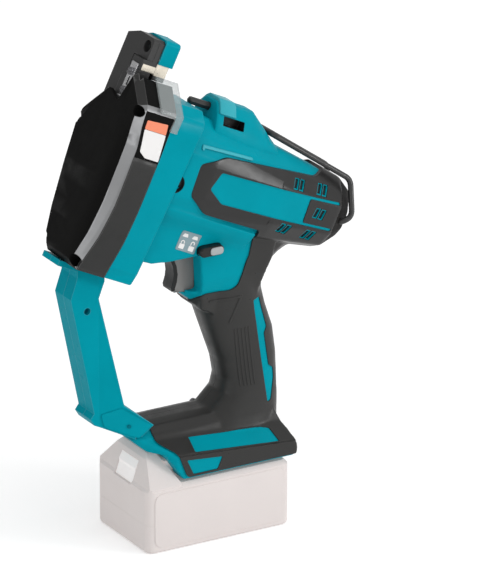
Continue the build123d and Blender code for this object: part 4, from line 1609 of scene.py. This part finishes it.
    def build(self) -> None:
        """Grow the two skins, cut them into pieces and dress these."""
        marks, cover, core = self.marks, self.cover_form.skin(), self.core_form.skin()
        openings, inlays, slots = self.openings(), self.inlays(), marks.vent_slots(0.0)
        soft = Mesher.cut(cover, self.soft_zone(), Keep.SHARED)
        for tool in (inlays, openings, *self.pod_bevels(), marks.vent_slots(marks.vent_gap), self.foot_groove()):
            soft = Mesher.cut(soft, tool)
        ribs = Mesher.level(cover, marks.grip_ribs(), marks.rib_proud)
        soft = Mesher.gathered(soft, ribs, Mesher.level(cover, marks.thumb_mark(), marks.thumb_proud))
        hard = Mesher.cut(Mesher.cut(core, openings), slots)
        plates = Mesher.level(cover, inlays, -self.inlay_sunk)
        collars = Mesher.cut(Mesher.level(cover, marks.vent_slots(marks.collar), -marks.collar_sunk), slots)
        hard = Mesher.gathered(hard, plates, collars)
        for name, side in (("left", 1), ("right", -1)):
            shell, rubber = [Mesher.half(mesh, side, self.split) for mesh in (hard, soft)]
            Mesher.piece(f"{name}_shell", shell, TEAL, "tool", "teal_shell", (f"{name}_housing",))
            Mesher.piece(
                f"{name}_soft_cover", rubber, RUBBER, "tool", "black_rubber", (f"{name}_overmould",),
                others=(POD, DULL), zone=self.pod_zone,
            )
        # The ridges take the paler teal as a painted highlight.
        ridges = Mesher.level(core, marks.panel_ridge(), marks.ridge_proud)
        Mesher.piece("panel_ridges", ridges, TEAL_PALE, "tool", "teal_shell")
        Mesher.piece("port_cups", self.port_cups(), BLACK, "tool", "black_plastic")
        # Black floors close under the slots: a painted shade for the dark inside of the vents.
        floors = Mesher.level(cover, marks.vent_slots(marks.vent_lap), -marks.vent_depth)
        Mesher.piece("vent_floors", floors, BLACK, "tool", "black_plastic")
        plate = Mesher.level(core, marks.lock_plate(), marks.lock_proud)
        Mesher.piece("lock_plate", plate, PLATE_GREY, "tool", "grey_plastic")
        signs = Mesher.level(core, marks.lock_signs(), marks.sign_proud)
        Mesher.piece("lock_signs", signs, PLATE_WHITE, "tool", "pack_key")


@dataclass
class Insides:
    """Pieces that the closed tool hides: drive, motor, switch, contacts and cells.

    Attributes:
        steel: nodes of bright steel.
        iron: nodes of dark iron.
        moulded: nodes of black plastic.
    """

    steel: list[str] = rows(
        "ram", "cam_roller", "roller_pin", "cluster_shaft", "cam_shaft", "motor_bearings", "motor_pinion",
        "cluster_gear", "cam_gear",
    )
    iron: list[str] = rows("stator", "rotor")
    moulded: list[str] = rows("fan", "switch_body", "terminal_block")

    def build(self) -> None:
        """Dress every hidden piece."""
        dress(STEEL, *self.steel)
        dress(IRON, *self.iron)
        dress(BLACK, *self.moulded)
        dress(BRASS, "terminal_blades")
        dress(BOARD, "control_board")
        dress(SLEEVE, "pack_cells")


@dataclass
class GearHead:
    """Gear housing with black cover, die frame, dies, clear guard and a plain two-coloured plate.

    Attributes:
        cover_rear: where the cover meets the housing.
        front_from: the front face and its bevels lie before this place along.
        nose: the nose's bevels lie before this place along, all others to the left of this place.
        die_shadow_up: height above which the fixed die is darkened, a painted shadow under the frame's block.
        die_front: where its ground part ends.
        moving_up: height above which the moving die is ground bright.
        side: how far left the solids' flat side lies at some heights.
        swell: how much further left it comes, for the looks, at some heights.
        swell_left: where the swelling sets in, counted to the left, and over what width.
        swell_along: where it sets in along the barrel, and over what length.
        crown: how far the front's left edge falls back at some heights.
        bevel: width of the edge's bevel, over which half of that is lost.
        fade: width over which the other half is lost.
        ease: slope by which the cover's lower end is brought back in line with its side.
        ease_up: height at which that starts.
        grid: places to the left at which the cover's faces are divided.
        recesses: place to the left, height and radius of the two left screw recesses of the cover.
        step_low: heights of the raised field's lower end and how far it stands out there.
        step_high: the same of its upper end.
        step_front: where the field ends in front.
        step_sunk: how far it goes into the cover.
        white: side view of the pale half of the plate.
        orange: side view of its bright half.
        plate_corner: rounding of both.
        plate_reach: where the plate starts and ends, counted from the cover outwards.
    """

    cover_rear: float = 176.0
    front_from: float = 195.0
    nose: Pair = (200.0, 20.0)
    die_shadow_up: float = 308.3
    die_front: float = 198.6
    moving_up: float = 302.4
    side: Outline = rows((157, 27.0), (166, 29.5), (260, 36.0), (281.6, 36.9))
    swell: Outline = rows(
        (157, 0.5), (166, 2.0), (176, 3.6), (185, 5.0), (198, 5.3), (210, 5.2), (225, 4.2), (240, 3.0), (254, 1.9),
        (264, 0.7), (271, 0.0),
    )
    swell_left: Pair = (8.0, 9.0)
    swell_along: Pair = (149.0, 27.0)
    crown: Outline = rows(
        (157, 1.0), (166, 1.6), (176, 2.7), (185, 3.6), (198, 4.4), (210, 5.0), (225, 4.8), (240, 4.5), (254, 3.9),
        (264, 2.4), (271, 1.2), (280, 0.0),
    )
    bevel: float = 5.0
    fade: float = 14.0
    ease: float = 0.22
    ease_up: float = 166.0
    grid: list[float] = rows(14.0, 18.0, 22.0, 26.0)
    recesses: list[Place] = rows((32.0, 279.0, 4.5), (27.2, 163.0, 4.4))
    step_low: Outline = rows((157.3, 0.6), (158.3, 0.9))
    step_high: Outline = rows((244.4, 0.9), (246.4, 0.5), (247.4, 0.0))
    step_front: float = 201.8
    step_sunk: float = 2.0
    white: Outline = rows((197.4, 268.6), (178.5, 268.6), (176.7, 249), (188.7, 249), (194.5, 252.4))
    orange: Outline = rows((197.9, 275.4), (180.0, 276.5), (178.5, 268.8), (197.4, 268.8))
    plate_corner: float = 0.8
    plate_reach: Pair = (-0.4, 0.2)

    @staticmethod
    def share(place: float, ramp: Pair) -> float:
        """How much of a ramp, given by its start and its length, lies before a place, from 0 to 1."""
        return min(1.0, max(0.0, (place - ramp[0]) / ramp[1]))

    def eased(self, up: float) -> float:
        """How far the cover's lower end is brought out at a height."""
        return self.ease * max(0.0, self.ease_up - up)

    def flank(self, up: float) -> float:
        """How far left the cover's flat side lies at a height."""
        return Mesher.between(self.side, up) + Mesher.between(self.swell, up) + self.eased(up)

    def widened(self, corner: Vector) -> Vector:
        """Place of a corner of the head once its left side is swelled out and its front edge crowned.

        Args:
            corner: the corner's place on the solids.

        Returns:
            Its new place.
        """
        share = self.share(corner.y, self.swell_left) * self.share(corner.x, self.swell_along)
        left = corner.y + share * Mesher.between(self.swell, corner.z)
        inward = self.flank(corner.z) - left
        edge = 0.5 * max(0.0, 1 - (inward - self.bevel) / self.fade) ** 2
        if inward < self.bevel:
            edge = 1 - 0.5 * inward / self.bevel
        back = edge * Mesher.between(self.crown, corner.z) if corner.x > self.front_from else 0.0
        return Vector((corner.x - back, left, corner.z))

    def evened(self, corner: Vector) -> Vector:
        """Place of a corner of the cover, whose lower end is also brought in line."""
        out = self.share(corner.y, self.swell_left) * self.eased(corner.z)
        return self.widened(corner + Vector((0, out, 0)))

    def cover_zone(self, middle: Vector, normal: Vector) -> int:
        """Finish of a face of the cover.

        Args:
            middle: middle of the face.
            normal: its normal.

        Returns:
            1 on the left bevel, 2 on those of the nose, 0 elsewhere; 1 takes a painted reflection and 2 a painted
            highlight.
        """
        if any(math.hypot(middle.y - left, middle.z - up) < radius for left, up, radius in self.recesses):
            return 0
        if normal.y > 0.8 and 0.25 < normal.z < 0.6:
            return 1
        along, left = self.nose
        if 0.25 < normal.x < 0.82 and middle.x > self.front_from and (middle.x > along or middle.y > left):
            return 2 if normal.z > 0.3 else int(normal.y > 0.3 and middle.z > self.side[0][0])
        return 0

    def fixed_zone(self, middle: Vector, normal: Vector) -> int:
        """Finish of a face of the fixed die: 1 where it is dark, above its shadow line as a painted shadow under the
        block and at its front end.
        """
        return int(middle.z > self.die_shadow_up or middle.x > self.die_front)

    def moving_zone(self, middle: Vector, normal: Vector) -> int:
        """Finish of a face of the moving die: 1 where it is blackened."""
        return int(middle.z < self.moving_up)

    def on_flank(self, outline: Outline) -> Body:
        """Thin plate on the cover's flat side.

        Args:
            outline: (along, up) corners.

        Returns:
            The closed plate.
        """
        return Mesher.loft([
            [BARREL.spot(along, self.flank(up) + off, up) for along, up in outline] for off in self.plate_reach
        ])

    def step(self) -> Mesh:
        """Raised field on the cover's side, below the plate.

        Returns:
            The closed field.
        """
        (low, proud), high = self.step_low[-1], self.step_high[0][0]
        heights = self.step_low + [(up, proud) for up, _ in self.swell if low < up < high] + self.step_high
        rear, rings = self.cover_rear + 1, []
        for up, proud in heights:
            front, inner = self.step_front - Mesher.between(self.crown, up), self.flank(up) - self.step_sunk
            outer = self.flank(up) + proud
            ring = [(rear, inner), (rear, outer), (front, outer), (front, inner)]
            rings.append([BARREL.spot(along, left, up) for along, left in ring])
        return Mesher.joined(Mesher.loft(rings))

    def build(self) -> None:
        """Dress the head's nodes and add what the solids leave out."""
        dress(TEAL_METAL, "guide_cap")
        dress(BLACK_METAL, "die_frame")
        dress(STEEL, "keeper_strap")
        dress(SCREW, "frame_screws", "strap_screws", "housing_screws")
        dress(CLEAR, "clear_guard")
        spot = BARREL.spot
        rise, front = spot(0, 0, 1).normalized(), spot(1, 0, 0).normalized()
        levels = tuple((spot(0, 0, up), rise) for up, _ in self.swell)
        cuts = tuple((spot(0, 0, up), rise) for up in sorted({up for up, _ in self.swell + self.crown}))
        cuts += tuple((spot(0, left, 0), Vector((0, -1, 0))) for left in self.grid)
        # The cover's bevels take lit copies of its finish: a painted reflection and a painted highlight.
        coats = (COVER, COVER_LIT_RIM, COVER_LIT_SIDE)
        Mesher.zoned("front_cover", "tool", "black_cover", coats, self.cover_zone, cuts, self.evened)
        Mesher.zoned("gear_housing", "tool", "teal_metal", (TEAL_METAL,), None, levels, self.widened)
        Mesher.zoned("cover_screws", "tool", "black_metal", (BLACK,), None, (), self.evened)
        # The fixed die's upper band is dark as a painted shadow under the block.
        Mesher.zoned(
            "fixed_die", "tool", "pale_steel", (DIE, BLACK_METAL), self.fixed_zone,
            ((spot(0, 0, self.die_shadow_up), rise), (spot(self.die_front, 0, 0), front)),
        )
        Mesher.zoned(
            "moving_die", "ram", "pale_steel", (DIE, BLACK_METAL), self.moving_zone,
            ((spot(0, 0, self.moving_up), rise),),
        )
        # The raised step takes the lit copy of the cover's finish, a painted highlight.
        Mesher.piece("cover_step", self.step(), COVER_LIT_SIDE, "tool", "black_cover")
        for name, outline, finish in (
            ("white_plate", self.white, PLATE_WHITE), ("orange_plate", self.orange, PLATE_ORANGE),
        ):
            plate = Mesher.joined(self.on_flank(Mesher.rounded(outline, self.plate_corner, 3)))
            Mesher.piece(name, plate, finish, "tool", "pack_key")


@dataclass
class Controls:
    """Trigger and lock-off bar.

    Attributes:
        cap: reach along and up of the pale end of the bar.
        cap_left: its reach to the left.
        cap_corner: rounding of its corners.
        cap_edge: rounding of its edges.
    """

    cap: Oblong = ((-10.2, 0.2), (216.2, 221.8))
    cap_left: Pair = (25.2, 26.5)
    cap_corner: float = 2.7
    cap_edge: float = 0.4

    @staticmethod
    def trigger_shade_zone(middle: Vector, normal: Vector) -> int:
        """Finish of a face of the trigger: 1 on faces that point to the front, black as a painted shade."""
        return int(normal.x > 0.3)

    def build(self) -> None:
        """Dress trigger and bar and add the bar's pale end."""
        Mesher.zoned("trigger", "trigger", "grey_plastic", (TRIGGER, BLACK), self.trigger_shade_zone)
        dress(BLACK, "lock_bar")
        outline = Mesher.rounded(Mesher.oblong(*self.cap), self.cap_corner, 6)
        cap = Mesher.joined(Mesher.prism(UPRIGHT, outline, *self.cap_left))
        Mesher.piece("lock_bar_end", Mesher.softened(cap, self.cap_edge), PALE, "lock_bar", "grey_plastic")


@dataclass
class TopBridge:
    """Holder on top of the barrel with window, clip and stored key, and the wire hook behind it.

    Attributes:
        rings: sections of the holder, each a place along with the left half as (left, up).
        edge: rounding of the holder's edges.
        window: reach of the window along and up.
        window_left: where its floor lies, to the left and to the right.
        window_out: how far to each side it is cut.
        clip: reach of the clip along the barrel.
        clip_outer: left half of the clip's outer section, as (left, up).
        clip_inner: the same of its inner section.
        clip_edge: rounding of the clip's edges.
        key_up: height of the key.
        key_ends: places along the key and its radius there.
        key_arm: place along and radius of the key's short arm.
        key_reach: how far the short arm goes, to the left.
        bore: radius of the hole round the key.
        bore_along: reach of that hole.
        wire: radius of the hook's wire.
        bend: how far from a corner the wire starts to bend.
        hook: corners of its left half, along the barrel.
    """

    rings: list[Section] = rows(
        (128.5, [(18.4, 270), (18.4, 282.5), (14.0, 291.0), (9.0, 297.4), (6.0, 298.6)]),
        (126.5, [(19.0, 270), (19.0, 282.8), (14.5, 291.5), (9.2, 298.2), (6.0, 300)]),
        (95.0, [(19.0, 270), (19.0, 280.0), (14.5, 290.5), (9.2, 298.0), (6.0, 300)]),
        (81.0, [(18.0, 270), (18.0, 279.0), (13.5, 285.5), (9.0, 289.6), (6.0, 291)]),
        (67.0, [(16.0, 270), (16.0, 277.5), (13.0, 279.8), (9.0, 281.4), (6.0, 282)]),
    )
    edge: float = 0.8
    window: Oblong = ((103.5, 122.5), (285.0, 291.4))
    window_left: float = 8.0
    window_out: float = 40.0
    clip: Pair = (112.5, 127.0)
    clip_outer: Outline = rows((15.6, 292.6), (10.0, 299.4), (6.6, 301.7))
    clip_inner: Outline = rows((12.0, 291.0), (7.6, 296.0), (5.0, 298.0))
    clip_edge: float = 0.5
    key_up: float = 293.0
    key_ends: Outline = rows((86, 3.0), (144.5, 3.0), (146.0, 2.6), (146.8, 1.6))
    key_arm: Pair = (88.6, 2.6)
    key_reach: Pair = (2.0, -9.0)
    bore: float = 3.3
    bore_along: Pair = (80.0, 140.0)
    wire: float = 2.1
    bend: float = 5.0
    hook: list[Place] = rows(
        (-2.0, 14.0, 244.9), (-2.0, 23.6, 244.9), (-8.8, 23.6, 251.6), (-0.5, 15.8, 275.8), (74.0, 10.0, 288.9),
    )

    def body(self) -> Mesh:
        """Holder with sloping sides, hollowed for window and key.

        Returns:
            The closed holder.
        """
        stations = [(along, Mesher.mirrored(half)) for along, half in self.rings]
        body = Mesher.softened(Mesher.joined(Mesher.sections(BARREL, stations)), self.edge)
        hollows = [Mesher.sections(BARREL, [(along, self.hexagon(self.bore)) for along in self.bore_along])]
        along, up = self.window
        for side in (-1, 1):
            reach = sorted((side * self.window_left, side * self.window_out))
            hollows.append(Mesher.block(BARREL, along, reach, up))
        for hollow in hollows:
            body = Mesher.cut(body, Mesher.joined(hollow))
        return body

    def window_shade_zone(self, middle: Vector, normal: Vector) -> int:
        """Finish of a face of the holder.

        Args:
            middle: middle of the face.
            normal: its normal.

        Returns:
            1 inside window and key hole, black as a painted shade and, in the window, for the dark key seen through
            it, 0 elsewhere.
        """
        within = [low - 0.05 <= place <= high + 0.05 for place, (low, high) in zip((middle.x, middle.z), self.window)]
        outer = abs(middle.y) > self.window_left + 0.1 and abs(normal.y) > 0.5
        bore = math.hypot(middle.y, middle.z - self.key_up) < self.bore + 0.1 and abs(normal.x) < 0.5
        return int((all(within) and not outer) or bore)

    def clip_plate(self) -> Mesh:
        """Raised clip over the top and down both sides.

        Returns:
            The closed clip.
        """
        ring = Mesher.mirrored(self.clip_outer)
        ring += [(-left, up) for left, up in self.clip_inner] + self.clip_inner[::-1]
        plate = Mesher.sections(BARREL, [(along, ring) for along in self.clip])
        return Mesher.softened(Mesher.joined(plate), self.clip_edge)

    def hexagon(self, radius: float) -> Outline:
        """Six (left, up) corners around the key's middle line."""
        return Mesher.circle((0, self.key_up), radius, 6)

    def key(self) -> Mesh:
        """Six-sided key, rounded at its front end, whose short arm is bent to the right inside the holder.

        Returns:
            The key.
        """
        along, radius = self.key_arm
        arm = Mesher.prism(BARREL, Mesher.circle((along, self.key_up), radius, 6), *self.key_reach)
        stations = [(place, self.hexagon(radius)) for place, radius in self.key_ends]
        return Mesher.joined(Mesher.sections(BARREL, stations), arm)

    def bail(self) -> Mesh:
        """Wire hook that lies along the top and is hinged at the rear.

        Returns:
            The closed wire.
        """
        half = [BARREL.spot(*corner) for corner in self.hook]
        other = [Vector((corner.x, -corner.y, corner.z)) for corner in reversed(half)]
        return Mesher.joined(Mesher.tube(Mesher.bent(half + other, self.bend), self.wire))

    def build(self) -> None:
        """Set holder, clip, key and hook in place."""
        Mesher.piece(
            "bridge_body", self.body(), TEAL, "tool", "teal_shell", ("top_bridge",), others=(BLACK,),
            zone=self.window_shade_zone,
        )
        Mesher.piece("bridge_clip", self.clip_plate(), TEAL_PALE, "tool", "teal_shell")
        Mesher.piece("stored_key", self.key(), BLACK_METAL, "tool", "black_metal", ("hex_key",))
        Mesher.piece("wire_hook", self.bail(), BLACK_METAL, "hook", "black_metal", ("hanging_hook",))


@dataclass
class HandGuard:
    """Hand guard with a raised field and a small boss on each side of its lower end.

    Attributes:
        plan: how far left the guard's side lies, from rear to front.
        raised: side view of the raised field.
        raised_corner: rounding of its corners.
        raised_reach: where the field starts and ends, counted from the side outwards.
        boss: side-view place of the boss.
        boss_radius: its radius.
        boss_reach: where it starts and ends, counted from the side outwards.
    """

    plan: Outline = rows((40, 22.0), (60, 18.0), (84, 11.5), (110, 11.5))
    raised: Outline = rows((83, 105.5), (68, 109), (60, 103.6), (46, 93), (55.6, 84.2), (60, 86.2), (80.5, 95.6))
    raised_corner: float = 2.0
    raised_reach: Pair = (-0.6, 0.7)
    boss: Pair = (63.0, 94.3)
    boss_radius: float = 1.4
    boss_reach: Pair = (0.2, 1.1)

    def on_sides(self, outline: Outline, reach: Pair) -> Mesh:
        """The same thin plate on both sides of the guard.

        Args:
            outline: (along, up) corners.
            reach: where the plate starts and ends, counted from the side outwards.

        Returns:
            The two closed plates.
        """
        sides = [(along, Mesher.between(self.plan, along), up) for along, up in outline]
        plates = []
        for way in (-1, 1):
            plates.append(Mesher.loft([
                [UPRIGHT.spot(along, way * (left + off), up) for along, left, up in sides] for off in reach
            ]))
        return Mesher.joined(*plates)

    def build(self) -> None:
        """Dress the two halves and add fields and bosses."""
        dress(TEAL_METAL, "left_guard", "right_guard")
        plates = self.on_sides(Mesher.rounded(self.raised, self.raised_corner, 3), self.raised_reach)
        Mesher.piece("guard_fields", plates, TEAL, "tool", "teal_metal")
        bosses = self.on_sides(Mesher.circle(self.boss, self.boss_radius, 20), self.boss_reach)
        Mesher.piece("guard_bosses", bosses, TEAL_DEEP, "tool", "teal_metal")


@dataclass
class BatteryPack:
    """Battery pack with a raised field on each side.

    Attributes:
        raised: reach of the field along and up.
        corner: rounding of its corners.
        edge: rounding of its edges.
        proud: how far it stands out.
        sunk: how far it goes into the pack.
        half_width: half the width of the pack.
        rail_ends: half width of each step of the rails' front end, with its side view.
    """

    raised: Oblong = ((-53.5, 53.5), (4.5, 45.8))
    corner: float = 7.0
    edge: float = 0.5
    proud: float = 0.6
    sunk: float = 1.5
    half_width: float = 38.0
    rail_ends: list[Section] = rows(
        (25.5, [(30.0, 57.5), (34.4, 57.5), (39.0, 65.3), (30.0, 65.3)]),
        (22.5, [(30.0, 51.6), (31.0, 51.6), (34.4, 57.6), (30.0, 57.6)]),
    )

    def build(self) -> None:
        """Dress the pack and add the two fields and the rails' front end."""
        dress(PACK, "pack_lower", "pack_upper")
        dress(PACK_KEY, "pack_button")
        outline = Mesher.rounded(Mesher.oblong(*self.raised), self.corner, 6)
        inner, outer = self.half_width - self.sunk, self.half_width + self.proud
        fields = Mesher.joined(*Mesher.on_both(UPRIGHT, outline, inner, outer))
        Mesher.piece("pack_fields", Mesher.softened(fields, self.edge, 3), PACK, "pack", "pack_case")
        ends = [Mesher.prism(UPRIGHT, view, -half, half) for half, view in self.rail_ends]
        Mesher.piece("rail_ends", Mesher.joined(*ends), PACK, "pack", "pack_case")


def main() -> None:
    """Build the studio and every sub-assembly in order."""
    logging.basicConfig(level=logging.INFO, format="%(name)s %(message)s")
    Studio().build()
    Insides().build()
    MotorShell().build()
    GearHead().build()
    Controls().build()
    TopBridge().build()
    HandGuard().build()
    BatteryPack().build()


if __name__ == "__main__":
    main()
